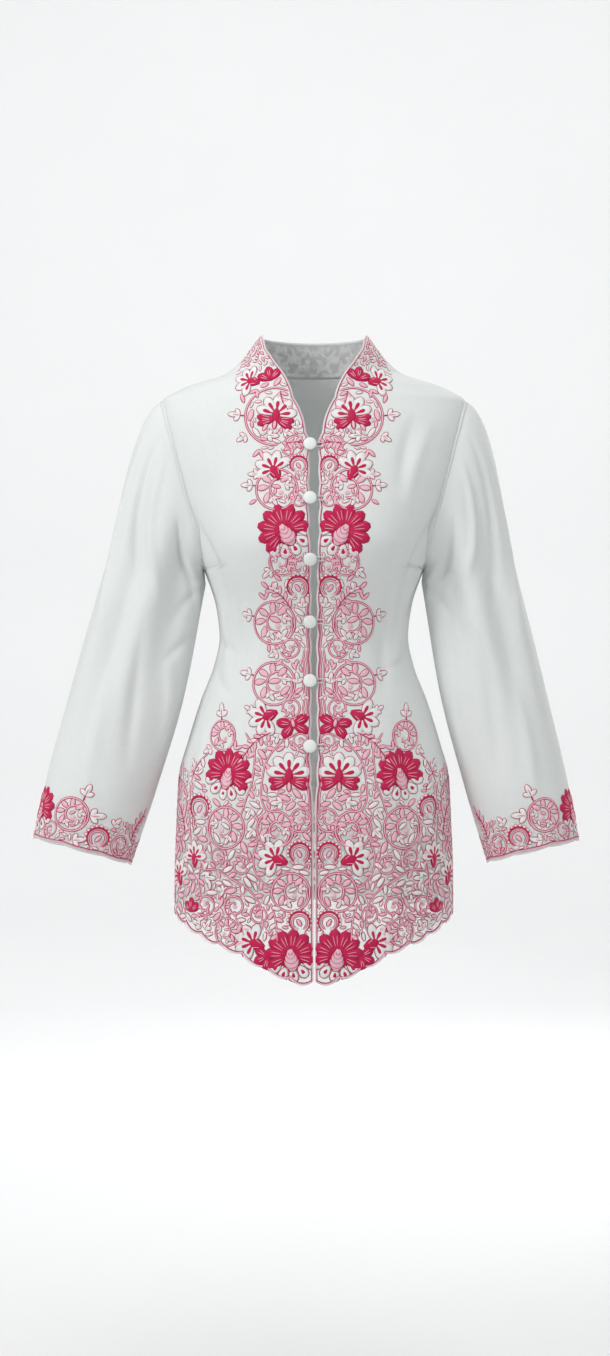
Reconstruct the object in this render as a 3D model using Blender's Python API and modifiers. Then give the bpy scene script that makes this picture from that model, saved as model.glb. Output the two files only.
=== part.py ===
"""Kebaya blouse: two fronts, a back, a back collar band, two sleeves, buttons and loops.

Metres, +Z up. The front of the blouse faces -Y and the wearer's left is +X. The origin is
where the wearer's shoulders hold the blouse: the middle of the neck, level with the foot of
the collar. The cloth keeps the hollow form that it has when it is worn.
"""

import math

import bpy
import numpy as np
from mathutils import Matrix, Vector

WALL = 0.0015
SEAM_GAP = 0.0004
# How far a sleeve starts outside the armhole's edge, and how much more under the arm.
SLEEVE_STEP = 0.0014
UNDERARM_STEP = 0.0019

# Level cuts through the body, from the hem up to the top of the collar. Each is a rounded
# outline: its half width, its depth to the front and to the back of the side seam, and the
# power that squares it (2 is an ellipse).
BODY_COLUMNS = ("z", "half_width", "front", "back", "power")
BODY = np.array([
    (-0.790, 0.1725, 0.1300, 0.1310, 2.30),
    (-0.665, 0.1720, 0.1270, 0.1290, 2.30),
    (-0.532, 0.1685, 0.1200, 0.1260, 2.30),
    (-0.497, 0.1660, 0.1160, 0.1220, 2.30),
    (-0.464, 0.1570, 0.1110, 0.1140, 2.30),
    (-0.407, 0.1390, 0.1010, 0.0980, 2.30),
    (-0.365, 0.1230, 0.0940, 0.0860, 2.30),
    (-0.329, 0.1160, 0.0920, 0.0810, 2.30),
    (-0.290, 0.1200, 0.0985, 0.0840, 2.30),
    (-0.245, 0.1340, 0.1130, 0.0900, 2.30),
    (-0.215, 0.1470, 0.1190, 0.0940, 2.30),
    (-0.180, 0.1610, 0.1160, 0.0980, 2.30),
    (-0.140, 0.1740, 0.1070, 0.1010, 2.30),
    (-0.095, 0.1850, 0.0940, 0.1000, 2.20),
    (-0.060, 0.1900, 0.0830, 0.0950, 2.00),
    (-0.036, 0.1880, 0.0750, 0.0890, 1.75),
    (-0.019, 0.1610, 0.0700, 0.0840, 1.60),
    (0.000, 0.1070, 0.0660, 0.0780, 1.65),
    (0.012, 0.0930, 0.0640, 0.0730, 1.80),
    (0.030, 0.0780, 0.0600, 0.0640, 1.95),
    (0.046, 0.0660, 0.0560, 0.0570, 2.00),
])

# How far each front's edge lies from the middle: a narrow gap below the top button, the
# V of the neck above it.
EDGE_COLUMNS = ("z", "away")
EDGE = np.array([
    (-0.790, 0.0006),
    (-0.545, 0.0006),
    (-0.505, 0.0024),
    (-0.475, 0.0032),
    (-0.384, 0.0026),
    (-0.300, 0.0028),
    (-0.236, 0.0036),
    (-0.200, 0.0052),
    (-0.130, 0.0052),
    (-0.098, 0.0042),
    (-0.082, 0.0075),
    (-0.057, 0.0150),
    (-0.035, 0.0230),
    (-0.009, 0.0355),
    (0.012, 0.0490),
    (0.030, 0.0575),
    (0.046, 0.0640),
])

# The armhole: how much of the half width the panels keep at each height.
ARMHOLE_COLUMNS = ("z", "share")
ARMHOLE = np.array([
    (-0.245, 1.000),
    (-0.241, 0.984),
    (-0.233, 0.962),
    (-0.220, 0.942),
    (-0.190, 0.916),
    (-0.150, 0.914),
    (-0.126, 0.918),
    (-0.095, 0.926),
    (-0.065, 0.946),
    (-0.045, 0.978),
    (-0.036, 1.000),
])
UNDERARM_Z = -0.245
SHOULDER_TIP_Z = -0.036
COLLAR_FOOT_Z = 0.002
COLLAR_TOP_Z = 0.046
SKIRT_Z = -0.545
BACK_HEM_Z = -0.666

# The front hem, by distance from the middle: two long points that curve up to the sides.
HEM_COLUMNS = ("x", "z")
HEM = np.array([
    (0.000, -0.7480),
    (0.012, -0.7485),
    (0.034, -0.7430),
    (0.050, -0.7350),
    (0.070, -0.7260),
    (0.084, -0.7175),
    (0.103, -0.7090),
    (0.125, -0.7010),
    (0.146, -0.6900),
    (0.156, -0.6840),
    (0.166, -0.6760),
    (0.173, -0.6700),
])
HEM_LOBE = 0.0290
HEM_LOBE_DEPTH = 0.0058
BACK_HEM_DIP = 0.006
BACK_LOBE_START = 0.004

# The lobes along the front edges: how deep they are at each height.
LOBE_ROUNDNESS = 0.7
EDGE_LOBE = 0.0300
EDGE_LOBE_COLUMNS = ("z", "depth")
EDGE_LOBES = np.array([
    (-0.545, 0.0000),
    (-0.505, 0.0018),
    (-0.098, 0.0018),
    (-0.070, 0.0034),
    (0.030, 0.0034),
    (0.046, 0.0000),
])

# Soft bust shaping from the cut and the darts.
BUST_X = 0.072
BUST_Z = -0.222
BUST_REACH = 0.050
BUST_RISE = 0.0080

# Largest folds of the body, on both sides: where they run (angle round the body from the
# middle of the front, in degrees), their heights, half width in degrees and rise.
FOLD_COLUMNS = ("angle", "low", "high", "spread", "rise")
BODY_FOLDS = np.array([
    (58.0, -0.330, -0.190, 5.0, -0.0030),
    (68.0, -0.350, -0.230, 4.5, 0.0028),
    (38.0, -0.400, -0.265, 7.0, -0.0024),
    (142.0, -0.430, -0.230, 8.0, -0.0035),
    (118.0, -0.390, -0.250, 6.0, -0.0026),
    (32.0, -0.700, -0.560, 8.0, 0.0026),
    (75.0, -0.700, -0.520, 7.0, 0.0030),
    (108.0, -0.690, -0.520, 8.0, 0.0032),
    (150.0, -0.690, -0.540, 9.0, 0.0034),
])

# Sleeve sections square to the arm: middle, half width seen from the front, half depth.
SLEEVE_COLUMNS = ("x", "y", "z", "half_width", "half_depth")
SLEEVE = np.array([
    (0.1975, -0.002, -0.2510, 0.0620, 0.0560),
    (0.2315, -0.011, -0.4030, 0.0680, 0.0580),
    (0.2570, -0.020, -0.4980, 0.0665, 0.0550),
    (0.2815, -0.030, -0.5930, 0.0615, 0.0480),
])
# The cap of a sleeve: how far its curve holds the direction in which it leaves the armhole
# and the one in which it arrives at the arm, as shares of its length, and how steeply it
# leaves at the shoulder and under the arm.
CAP_LEAVES = 0.17
CAP_ARRIVES = 0.34
CAP_DROP = 0.35
UNDERARM_DROP = 0.65
CAP_SPREAD = 0.30
CUFF_LOBES = 8
CUFF_LOBE_DEPTH = 0.0022
# The two sleeves hang a little apart: how far each arm swings out, how wide its sleeve
# falls and how far it lies out from the table's middles.
HANG_COLUMNS = ("reach", "width", "out")
HANG = {"left": (0.93, 0.93, -0.0045), "right": (1.06, 1.00, 0.0)}

# Largest folds of the sleeves: angle round the arm (0 outside, 90 front, 180 inside,
# 270 back), how far down they start and end, half width in degrees and rise.
SLEEVE_FOLD_COLUMNS = ("angle", "start", "end", "spread", "rise")
SLEEVE_FOLDS = np.array([
    (40.0, 0.10, 0.84, 15.0, 0.0044),
    (66.0, 0.04, 0.90, 13.0, -0.0066),
    (92.0, 0.10, 0.76, 14.0, 0.0060),
    (120.0, 0.04, 0.68, 14.0, -0.0078),
    (148.0, 0.14, 0.94, 15.0, 0.0044),
    (215.0, 0.08, 0.70, 16.0, -0.0064),
    (248.0, 0.06, 0.88, 16.0, 0.0056),
    (290.0, 0.04, 0.74, 15.0, -0.0060),
    (322.0, 0.12, 0.94, 15.0, 0.0040),
])

BUTTON_HEIGHTS = (-0.0980, -0.1643, -0.2362, -0.3112, -0.3840, -0.4628)
BUTTON_X = -0.0050
BUTTON_RADIUS = 0.0080
BUTTON_BACK = 0.0026
BUTTON_RIM = 0.0037
BUTTON_TOP = 0.0062
BUTTON_TURN = (22, 44, 66, 90)
BACK_RADIUS = 0.0074
BUTTON_STEPS = 16
SHANK_RADIUS = 0.0014
LOOP_THICKNESS = 0.0013
LOOP_LIFT = 0.0010
LOOP_ROOT_X = 0.0115
LOOP_BEND_X = 0.0035
LOOP_TURN = (-90, -45, 0, 45, 90)
LOOP_ROUNDNESS = 1
LOOP_HALF_HEIGHT = 0.0024
REST_GAP = 0.0003

FRONT_COLUMNS = 11
BACK_COLUMNS = 20
BODY_ROWS = 20
HEM_ROWS = 8
BACK_HEM_ROWS = 5
ARMHOLE_ROWS = 16
TOP_ROWS = 12
BACK_TOP_ROWS = 5
COLLAR_ROWS = 4
COLLAR_BAND_COLUMNS = 18
CAP_RINGS = 6
ARM_RINGS = 12
HEM_SPLIT = 3
# Rows of the armhole: 0 spaces them evenly, 1 gathers them at its two ends.
ARMHOLE_GATHER = 0.55
# What is left between the lowest level row and the lobed hem, as a share of a row.
LAST_ROW = 0.35
MEASURING_STEPS = 90
MERGE = 0.00005
SMALL_TURN = 0.01
SMALL_RISE = 0.002
AXIS_STEP = 0.02

CLOTH_COLOUR = (0.86, 0.88, 0.86, 1.0)
BUTTON_COLOUR = (0.90, 0.92, 0.91, 1.0)
LOOP_COLOUR = (0.84, 0.83, 0.80, 1.0)


def gentle_slopes(x, y):
    """Slopes of a smooth curve through points that never overshoots them."""
    step = np.diff(x)
    rise = np.diff(y) / step
    slopes = np.concatenate([[rise[0]], np.zeros(len(x) - 2), [rise[-1]]])
    for i in range(1, len(x) - 1):
        if rise[i - 1] * rise[i] > 0:
            first = 2 * step[i] + step[i - 1]
            second = step[i] + 2 * step[i - 1]
            slopes[i] = (first + second) / (first / rise[i - 1] + second / rise[i])
    return slopes


def read(table, columns, name, at):
    """A column of a table as a smooth function of its first column."""
    x = table[:, 0]
    y = table[:, columns.index(name)]
    slope = gentle_slopes(x, y)
    at = np.clip(np.asarray(at, float), x[0], x[-1])
    i = np.clip(np.searchsorted(x, at) - 1, 0, len(x) - 2)
    width = x[i + 1] - x[i]
    t = (at - x[i]) / width
    return (
        y[i] * (1 + 2 * t) * (1 - t) ** 2
        + slope[i] * width * t * (1 - t) ** 2
        + y[i + 1] * t * t * (3 - 2 * t)
        + slope[i + 1] * width * t * t * (t - 1)
    )


def body(name, z):
    return read(BODY, BODY_COLUMNS, name, z)


def swell(value, low, high):
    """A rise from 0 to 1 and back to 0 between two values, smooth at both ends."""
    t = np.clip((value - low) / (high - low), 0, 1)
    return np.sin(math.pi * t) ** 2


def lobes(along, pitch):
    """A row of rounded lobes: 0 where two meet, 1 at the crown of each."""
    return np.abs(np.sin(math.pi * along / pitch)) ** LOBE_ROUNDNESS


def body_push(z, angle, x):
    """How far the cloth stands out of the plain section: bust shaping and folds."""
    front = np.cos(angle) > 0
    away = ((np.abs(x) - BUST_X) ** 2 + (z - BUST_Z) ** 2) / BUST_REACH**2
    push = np.where(front, BUST_RISE * np.exp(-away), 0.0)
    degrees = np.degrees(np.arccos(np.cos(angle)))
    for at, low, high, spread, rise in BODY_FOLDS:
        push = push + rise * np.exp(-(((degrees - at) / spread) ** 2)) * swell(z, low, high)
    return push


def body_points(z, angle):
    """Points of the body's inner face at a height and an angle from the middle front."""
    z, angle = np.broadcast_arrays(np.asarray(z, float), np.asarray(angle, float))
    half_width = body("half_width", z)
    depth = np.where(np.cos(angle) > 0, body("front", z), body("back", z))
    share = 2 / body("power", z)
    x = half_width * np.sign(np.sin(angle)) * np.abs(np.sin(angle)) ** share
    y = -depth * np.sign(np.cos(angle)) * np.abs(np.cos(angle)) ** share
    out = np.stack([x / half_width**2, y / depth**2])
    out = out / np.linalg.norm(out, axis=0)
    push = body_push(z, angle, x)
    return np.stack([x + push * out[0], y + push * out[1], z], axis=-1)


def angle_at_x(z, x):
    """The angle on the front where the section is this far from the middle."""
    return np.arcsin(np.clip(x / body("half_width", z), 0, 1) ** (body("power", z) / 2))


def seam_angle(z, side):
    """The angle of the side or shoulder seam, half a gap short of it."""
    turn = (SEAM_GAP / 2 / body(side, z)) ** (body("power", z) / 2)
    return math.pi / 2 - np.arcsin(turn)


def outer_angle(z, side):
    """Where a panel ends at its side: at the seam, or at the armhole."""
    seam = seam_angle(z, side)
    if UNDERARM_Z < z < SHOULDER_TIP_Z:
        share = read(ARMHOLE, ARMHOLE_COLUMNS, "share", z)
        return min(seam, float(np.arcsin(share ** (body("power", z) / 2))))
    return float(seam)


def edge_away(z):
    """The front edge with its lobes, which grow where the neck opens."""
    away = float(read(EDGE, EDGE_COLUMNS, "away", z))
    depth = float(read(EDGE_LOBES, EDGE_LOBE_COLUMNS, "depth", z))
    return away + depth * (1 - float(lobes(z - away, EDGE_LOBE)))


def even_angles(z, first, last, count):
    """Angles that share the cloth between two angles into even widths."""
    fine = np.linspace(first, last, MEASURING_STEPS)
    points = body_points(z, fine)
    along = np.concatenate([[0], np.cumsum(np.linalg.norm(np.diff(points, axis=0), axis=1))])
    return np.interp(np.linspace(0, along[-1], count + 1), along, fine)


def armhole_heights():
    """Heights of the armhole rows, closer together at its top and foot."""
    k = np.arange(ARMHOLE_ROWS + 1) / ARMHOLE_ROWS
    eased = (1 - ARMHOLE_GATHER) * (1 - 2 * k) + ARMHOLE_GATHER * np.cos(math.pi * k)
    middle = (UNDERARM_Z + SHOULDER_TIP_Z) / 2
    return (middle + (SHOULDER_TIP_Z - UNDERARM_Z) / 2 * eased)[::-1]


def add_object(name, points, faces, material, edges=()):
    """A mesh object in the blouse's own collection, shaded smooth."""
    mesh = bpy.data.meshes.new(name)
    mesh.from_pydata([tuple(p) for p in points], edges, faces)
    mesh.validate()
    mesh.shade_smooth()
    made = bpy.data.objects.new(name, mesh)
    bpy.data.collections["kebaya_blouse"].objects.link(made)
    mesh.materials.append(material)
    return made


def thicken(piece):
    """Gives a cloth surface its wall, built outwards."""
    wall = piece.modifiers.new("wall", "SOLIDIFY")
    wall.thickness = WALL
    wall.offset = 1
    wall.use_even_offset = True
    wall.use_quality_normals = True


def cloth_panel(name, rows, hem, material, mirrored=False, closed=False):
    """A cloth wall lofted through rows of points, with a finer lobed hem row below them."""
    rows = np.array(rows)
    count, across = rows.shape[:2]
    faces = []
    for r in range(count - 1):
        for c in range(across if closed else across - 1):
            d = (c + 1) % across
            faces.append((r * across + c, r * across + d, (r + 1) * across + d, (r + 1) * across + c))
    points = rows.reshape(-1, 3)
    if hem is not None:
        start = len(points)
        points = np.vstack([points, hem])
        for c in range(across - 1):
            low = start + HEM_SPLIT * c
            faces.append((low, low + 1, c))
            faces.append((low + 1, low + 2, c + 1, c))
            faces.append((low + 2, low + 3, c + 1))
    if mirrored:
        points = points * (-1, 1, 1)
        faces = [face[::-1] for face in faces]
    piece = add_object(name, points, faces, material)
    thicken(piece)
    return piece


def hem_height(x):
    return read(HEM, HEM_COLUMNS, "z", np.abs(x))


def morphed_rows(angles, hem_of, count):
    """Rows that change from a level line at SKIRT_Z to the line of the hem."""
    level = body_points(SKIRT_Z, angles)
    low = hem_of(level)
    rows = []
    for k in range(count, 0, -1):
        z = SKIRT_Z + (low - SKIRT_Z) * k / (count + LAST_ROW)
        rows.append(body_points(z, angles))
    return rows


def lobed_hem(angles, hem_of, lobe_start):
    """The hem line itself, with its lobes."""
    fine = np.interp(
        np.arange((len(angles) - 1) * HEM_SPLIT + 1) / HEM_SPLIT, np.arange(len(angles)), angles
    )
    level = body_points(SKIRT_Z, fine)
    along = np.concatenate([[0], np.cumsum(np.linalg.norm(np.diff(level, axis=0), axis=1))])
    z = hem_of(level) - HEM_LOBE_DEPTH * (lobes(along - lobe_start, HEM_LOBE) - 1)
    return body_points(z, fine)


def front_hem(level):
    return hem_height(level[:, 0])


def back_hem(level):
    """The back hem dips a little in the middle."""
    across = level[:, 0] / body("half_width", SKIRT_Z)
    return BACK_HEM_Z - BACK_HEM_DIP * (1 - across**2)


def front_row(z):
    first = float(angle_at_x(z, edge_away(z)))
    return body_points(z, even_angles(z, first, outer_angle(z, "front"), FRONT_COLUMNS))


def back_row(z, columns=BACK_COLUMNS):
    side = math.pi - outer_angle(z, "back")
    return body_points(z, even_angles(z, side, 2 * math.pi - side, columns))


def make_front(side, material):
    """One front, cut in one with its edge border and its side of the collar."""
    angles = even_angles(
        SKIRT_Z,
        float(angle_at_x(SKIRT_Z, edge_away(SKIRT_Z))),
        outer_angle(SKIRT_Z, "front"),
        FRONT_COLUMNS,
    )
    rows = morphed_rows(angles, front_hem, HEM_ROWS)
    rows += [front_row(z) for z in np.linspace(SKIRT_Z, UNDERARM_Z, BODY_ROWS + 1)[:-1]]
    rows += [front_row(z) for z in armhole_heights()]
    top = np.linspace(SHOULDER_TIP_Z, COLLAR_TOP_Z, TOP_ROWS + 1)[1:]
    rows += [front_row(z) for z in top]
    hem = lobed_hem(angles, front_hem, 0.0)
    return cloth_panel(f"front_{side}", rows, hem, material, mirrored=side == "right")


def make_back(material):
    """The back, one piece from side seam to side seam."""
    side = math.pi - outer_angle(SKIRT_Z, "back")
    angles = even_angles(SKIRT_Z, side, 2 * math.pi - side, BACK_COLUMNS)
    rows = morphed_rows(angles, back_hem, BACK_HEM_ROWS)
    rows += [back_row(z) for z in np.linspace(SKIRT_Z, UNDERARM_Z, BODY_ROWS + 1)[:-1:2]]
    rows += [back_row(z) for z in armhole_heights()]
    top = np.linspace(SHOULDER_TIP_Z, COLLAR_FOOT_Z, BACK_TOP_ROWS + 1)[1:]
    rows += [back_row(z) for z in top]
    return cloth_panel("back", rows, lobed_hem(angles, back_hem, BACK_LOBE_START), material)


def make_collar_band(material):
    """The collar round the back of the neck, between the two fronts' collar ends."""
    foot = COLLAR_FOOT_Z + 1.5 * SEAM_GAP
    rows = [
        back_row(z, COLLAR_BAND_COLUMNS) for z in np.linspace(foot, COLLAR_TOP_Z, COLLAR_ROWS + 1)
    ]
    return cloth_panel("collar_band", rows, None, material)


def armhole_loop():
    """The armhole's edge, from the shoulder tip down the front and up the back."""
    heights = armhole_heights()[::-1]
    front = [body_points(z, outer_angle(z, "front")) for z in heights]
    back = [body_points(z, math.pi - outer_angle(z, "back")) for z in heights[::-1][1:-1]]
    loop = np.array(front + back)
    out = loop * (1, 1, 0)
    out = out / np.linalg.norm(out, axis=1, keepdims=True)
    low = np.sin(np.arange(len(loop)) * math.pi / len(loop)) ** 4
    return loop + out * (SLEEVE_STEP + UNDERARM_STEP * low[:, None])


def sleeve_axis(share, hang):
    """Middle, half width, half depth and direction of the sleeve at a share of its length."""
    station = np.concatenate([[0], np.cumsum(np.linalg.norm(np.diff(SLEEVE[:, :3], axis=0), axis=1))])
    table = np.column_stack([station / station[-1], SLEEVE])
    columns = ("share",) + SLEEVE_COLUMNS
    found = [float(read(table, columns, name, share)) for name in SLEEVE_COLUMNS]
    ahead = [float(read(table, columns, name, share + AXIS_STEP)) for name in "xyz"]
    behind = [float(read(table, columns, name, share - AXIS_STEP)) for name in "xyz"]
    reach, width, out = hang
    inner = SLEEVE[0, 0]
    middle = np.array([inner + (found[0] - inner) * reach + out, found[1], found[2]])
    run = (np.array(ahead) - np.array(behind)) * (reach, 1, 1)
    return middle, found[3] * width, found[4], run / np.linalg.norm(run)


def sleeve_fold(angle, down):
    """How far the sleeve's folds stand out at an angle and a share of its length."""
    degrees = np.degrees(angle)
    rise = np.zeros_like(degrees)
    for at, start, end, spread, height in SLEEVE_FOLDS:
        apart = (degrees - at + 180) % 360 - 180
        rise += height * np.exp(-((apart / spread) ** 2)) * swell(down, start, end)
    return rise


def sleeve_ring(share, hang, angle, down):
    """Points of one sleeve section square to the arm, and the arm's direction there."""
    middle, half_width, half_depth, run = sleeve_axis(share, hang)
    across = np.cross((0, 1, 0), -run)
    across = across / np.linalg.norm(across)
    forward = np.cross(run, across)
    rise = sleeve_fold(angle, down)
    out = np.outer((half_width + rise) * np.cos(angle), across)
    return middle + out + np.outer((half_depth + rise) * np.sin(angle), forward), run


def make_sleeve(side, material):
    """A sleeve: a cap that leaves the armhole, then a wide tube down to a lobed cuff."""
    hang = HANG[side]
    loop = armhole_loop()
    count = len(loop)
    angle = np.arange(count) * 2 * math.pi / count
    cap_share = CAP_RINGS / (CAP_RINGS + ARM_RINGS)
    first, run = sleeve_ring(0.0, hang, angle, cap_share)
    length = np.linalg.norm(first - loop, axis=1)[:, None]
    under = (1 - np.cos(angle)) / 2
    drop = CAP_DROP + (UNDERARM_DROP - CAP_DROP) * under
    leaves = np.stack([np.ones(count), -CAP_SPREAD * np.sin(angle), -drop], axis=1)
    leaves = leaves / np.linalg.norm(leaves, axis=1, keepdims=True)
    start_handle = loop + leaves * length * CAP_LEAVES
    end_handle = first - run * length * CAP_ARRIVES
    rings = []
    for k in range(CAP_RINGS):
        t = k / CAP_RINGS
        rings.append(
            loop * (1 - t) ** 3
            + start_handle * 3 * t * (1 - t) ** 2
            + end_handle * 3 * t * t * (1 - t)
            + first * t**3
        )
    for k in range(ARM_RINGS + 1):
        share = k / ARM_RINGS
        down = cap_share + (1 - cap_share) * share
        ring, run = sleeve_ring(share, hang, angle, down)
        if k == ARM_RINGS:
            drop = lobes(angle / (2 * math.pi) * CUFF_LOBES + 0.5, 1.0)
            ring = ring + run * (CUFF_LOBE_DEPTH * drop)[:, None]
        rings.append(ring)
    return cloth_panel(f"sleeve_{side}", rings, None, material, mirrored=side == "right", closed=True)


def seat_frame(x, z):
    """Where something sits on the fronts: a matrix whose +Z leaves the cloth's outer face."""
    angle = float(angle_at_x(z, abs(x)))
    here = body_points(z, angle)
    up = body_points(z + SMALL_RISE, float(angle_at_x(z + SMALL_RISE, abs(x)))) - here
    along = body_points(z, angle + SMALL_TURN) - here
    normal = Vector(np.cross(along, up)).normalized()
    if x < 0:
        here = here * (-1, 1, 1)
        normal.x = -normal.x
    rise = Vector(up).normalized()
    side = rise.cross(normal).normalized()
    turn = Matrix((side, normal.cross(side), normal)).transposed().to_4x4()
    return Matrix.Translation(Vector(here) + normal * WALL) @ turn


def make_button(number, z, material):
    """A cloth-covered button: a domed head on a short shank, turned about its own axis."""
    profile = [(0.0, BUTTON_TOP)]
    for degrees in BUTTON_TURN:
        turn = math.radians(degrees)
        height = BUTTON_RIM + (BUTTON_TOP - BUTTON_RIM) * math.cos(turn)
        profile.append((BUTTON_RADIUS * math.sin(turn), height))
    profile += [
        (BACK_RADIUS, BUTTON_BACK),
        (SHANK_RADIUS, BUTTON_BACK),
        (SHANK_RADIUS, REST_GAP),
        (0.0, REST_GAP),
    ]
    edges = [(i, i + 1) for i in range(len(profile) - 1)]
    button = add_object(f"button_{number}", [(r, 0, h) for r, h in profile], [], material, edges)
    spin = button.modifiers.new("turned", "SCREW")
    spin.steps = spin.render_steps = BUTTON_STEPS
    spin.use_merge_vertices = True
    spin.merge_threshold = MERGE
    button.matrix_world = seat_frame(BUTTON_X, z)
    return button


def make_loop(number, z, material):
    """A thin rouleau loop from the other front, round the button's shank."""
    reach = BUTTON_X - SHANK_RADIUS - LOOP_THICKNESS
    centre = reach + LOOP_HALF_HEIGHT
    outline = [(LOOP_ROOT_X, -LOOP_HALF_HEIGHT), (LOOP_BEND_X, -LOOP_HALF_HEIGHT)]
    for degrees in LOOP_TURN:
        turn = math.radians(degrees)
        outline.append((centre - LOOP_HALF_HEIGHT * math.cos(turn), LOOP_HALF_HEIGHT * math.sin(turn)))
    outline += [(LOOP_BEND_X, LOOP_HALF_HEIGHT), (LOOP_ROOT_X, LOOP_HALF_HEIGHT)]
    curve = bpy.data.curves.new(f"loop_{number}", "CURVE")
    curve.dimensions = "3D"
    curve.bevel_depth = LOOP_THICKNESS / 2
    curve.bevel_resolution = LOOP_ROUNDNESS
    curve.use_fill_caps = True
    line = curve.splines.new("POLY")
    line.points.add(len(outline) - 1)
    for point, (x, dz) in zip(line.points, outline):
        seat = seat_frame(x, z + dz)
        point.co = (*(seat @ Vector((0, 0, LOOP_LIFT))), 1)
    made = bpy.data.objects.new(f"loop_{number}", curve)
    bpy.data.collections["kebaya_blouse"].objects.link(made)
    curve.materials.append(material)
    return made


def cloth_material(name, colour, roughness):
    material = bpy.data.materials.new(name)
    material.use_nodes = True
    shader = material.node_tree.nodes["Principled BSDF"]
    shader.inputs["Base Color"].default_value = colour
    shader.inputs["Roughness"].default_value = roughness
    shader.inputs["Metallic"].default_value = 0.0
    material.diffuse_color = colour
    return material


def main():
    for old in list(bpy.data.objects):
        bpy.data.objects.remove(old)
    home = bpy.data.collections.new("kebaya_blouse")
    bpy.context.scene.collection.children.link(home)
    voile = cloth_material("voile", CLOTH_COLOUR, 0.85)
    covered = cloth_material("covered_button", BUTTON_COLOUR, 0.7)
    rouleau = cloth_material("rouleau", LOOP_COLOUR, 0.8)
    for side in ("left", "right"):
        make_front(side, voile)
        make_sleeve(side, voile)
    make_back(voile)
    make_collar_band(voile)
    for number, z in enumerate(BUTTON_HEIGHTS, start=1):
        make_button(number, z, covered)
        make_loop(number, z, rouleau)


main()
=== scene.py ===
"""Kebaya blouse, dressed: thin voile panels, satin-stitch borders, covered buttons and loops.

Metres, +Z up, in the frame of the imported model. The front of the blouse faces -Y and the
wearer's left is +X. The cloth follows the solids' own surface, which is worked out again here
from the same tables, with more creases. Embroidery is laid on it by charts: flat maps of the
cloth, read by the distance along it and the height up it.
"""

import math
from functools import partial

import bpy
import numpy as np
from bpy.props import FloatProperty, FloatVectorProperty, PointerProperty
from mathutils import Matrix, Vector


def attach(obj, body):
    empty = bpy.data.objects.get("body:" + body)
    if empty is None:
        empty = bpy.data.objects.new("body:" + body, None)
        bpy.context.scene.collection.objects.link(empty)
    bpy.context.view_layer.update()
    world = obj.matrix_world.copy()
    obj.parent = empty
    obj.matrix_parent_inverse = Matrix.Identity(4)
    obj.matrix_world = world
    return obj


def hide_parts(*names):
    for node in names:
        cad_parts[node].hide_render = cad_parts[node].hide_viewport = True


bl_info = {
    "name": "Kebaya blouse",
    "version": (1, 0, 0),
    "blender": (4, 5, 0),
    "location": "View3D > Sidebar > Kebaya",
    "description": "Dresses a kebaya blouse with voile, satin-stitch borders, buttons and loops",
    "category": "Object",
}

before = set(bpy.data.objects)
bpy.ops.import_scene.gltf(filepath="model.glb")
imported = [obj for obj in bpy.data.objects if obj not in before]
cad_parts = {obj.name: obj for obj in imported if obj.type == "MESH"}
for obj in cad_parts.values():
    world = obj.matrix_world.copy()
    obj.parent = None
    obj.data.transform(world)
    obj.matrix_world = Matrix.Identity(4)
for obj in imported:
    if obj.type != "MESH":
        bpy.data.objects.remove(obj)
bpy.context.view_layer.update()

# The cloth's own sizes: where the shell starts outside the solids' inner face, and its wall.
CLOTH_INNER = 0.0006
CLOTH_WALL = 0.0006
CLOTH_OUTER = CLOTH_INNER + CLOTH_WALL
SOLID_WALL = 0.0015
SEAM_GAP = 0.0004
SLEEVE_STEP = 0.0014
UNDERARM_STEP = 0.0019
UNDERARM_Z = -0.245
SHOULDER_TIP_Z = -0.036
COLLAR_FOOT_Z = 0.002
COLLAR_TOP_Z = 0.046
SKIRT_Z = -0.545
BACK_HEM_Z = -0.666
HEM_LOBE = 0.0290
HEM_LOBE_DEPTH = 0.0058
BACK_HEM_DIP = 0.006
BACK_LOBE_START = 0.004
LOBE_ROUNDNESS = 0.7
EDGE_LOBE = 0.0300

# Level cuts through the body: half width, depth to the front and back, squareness.
BODY_COLUMNS = ("z", "half_width", "front", "back", "power")
BODY = np.array([
    (-0.790, 0.1725, 0.1300, 0.1310, 2.30),
    (-0.665, 0.1720, 0.1270, 0.1290, 2.30),
    (-0.532, 0.1685, 0.1200, 0.1260, 2.30),
    (-0.497, 0.1660, 0.1160, 0.1220, 2.30),
    (-0.464, 0.1570, 0.1110, 0.1140, 2.30),
    (-0.407, 0.1390, 0.1010, 0.0980, 2.30),
    (-0.365, 0.1230, 0.0940, 0.0860, 2.30),
    (-0.329, 0.1160, 0.0920, 0.0810, 2.30),
    (-0.290, 0.1200, 0.0985, 0.0840, 2.30),
    (-0.245, 0.1340, 0.1130, 0.0900, 2.30),
    (-0.215, 0.1470, 0.1190, 0.0940, 2.30),
    (-0.180, 0.1610, 0.1160, 0.0980, 2.30),
    (-0.140, 0.1740, 0.1070, 0.1010, 2.30),
    (-0.095, 0.1850, 0.0940, 0.1000, 2.20),
    (-0.060, 0.1900, 0.0830, 0.0950, 2.00),
    (-0.036, 0.1880, 0.0750, 0.0890, 1.75),
    (-0.019, 0.1610, 0.0700, 0.0840, 1.60),
    (0.000, 0.1070, 0.0660, 0.0780, 1.65),
    (0.012, 0.0930, 0.0640, 0.0730, 1.80),
    (0.030, 0.0780, 0.0600, 0.0640, 1.95),
    (0.046, 0.0660, 0.0560, 0.0570, 2.00),
])
EDGE_COLUMNS = ("z", "away")
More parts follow.
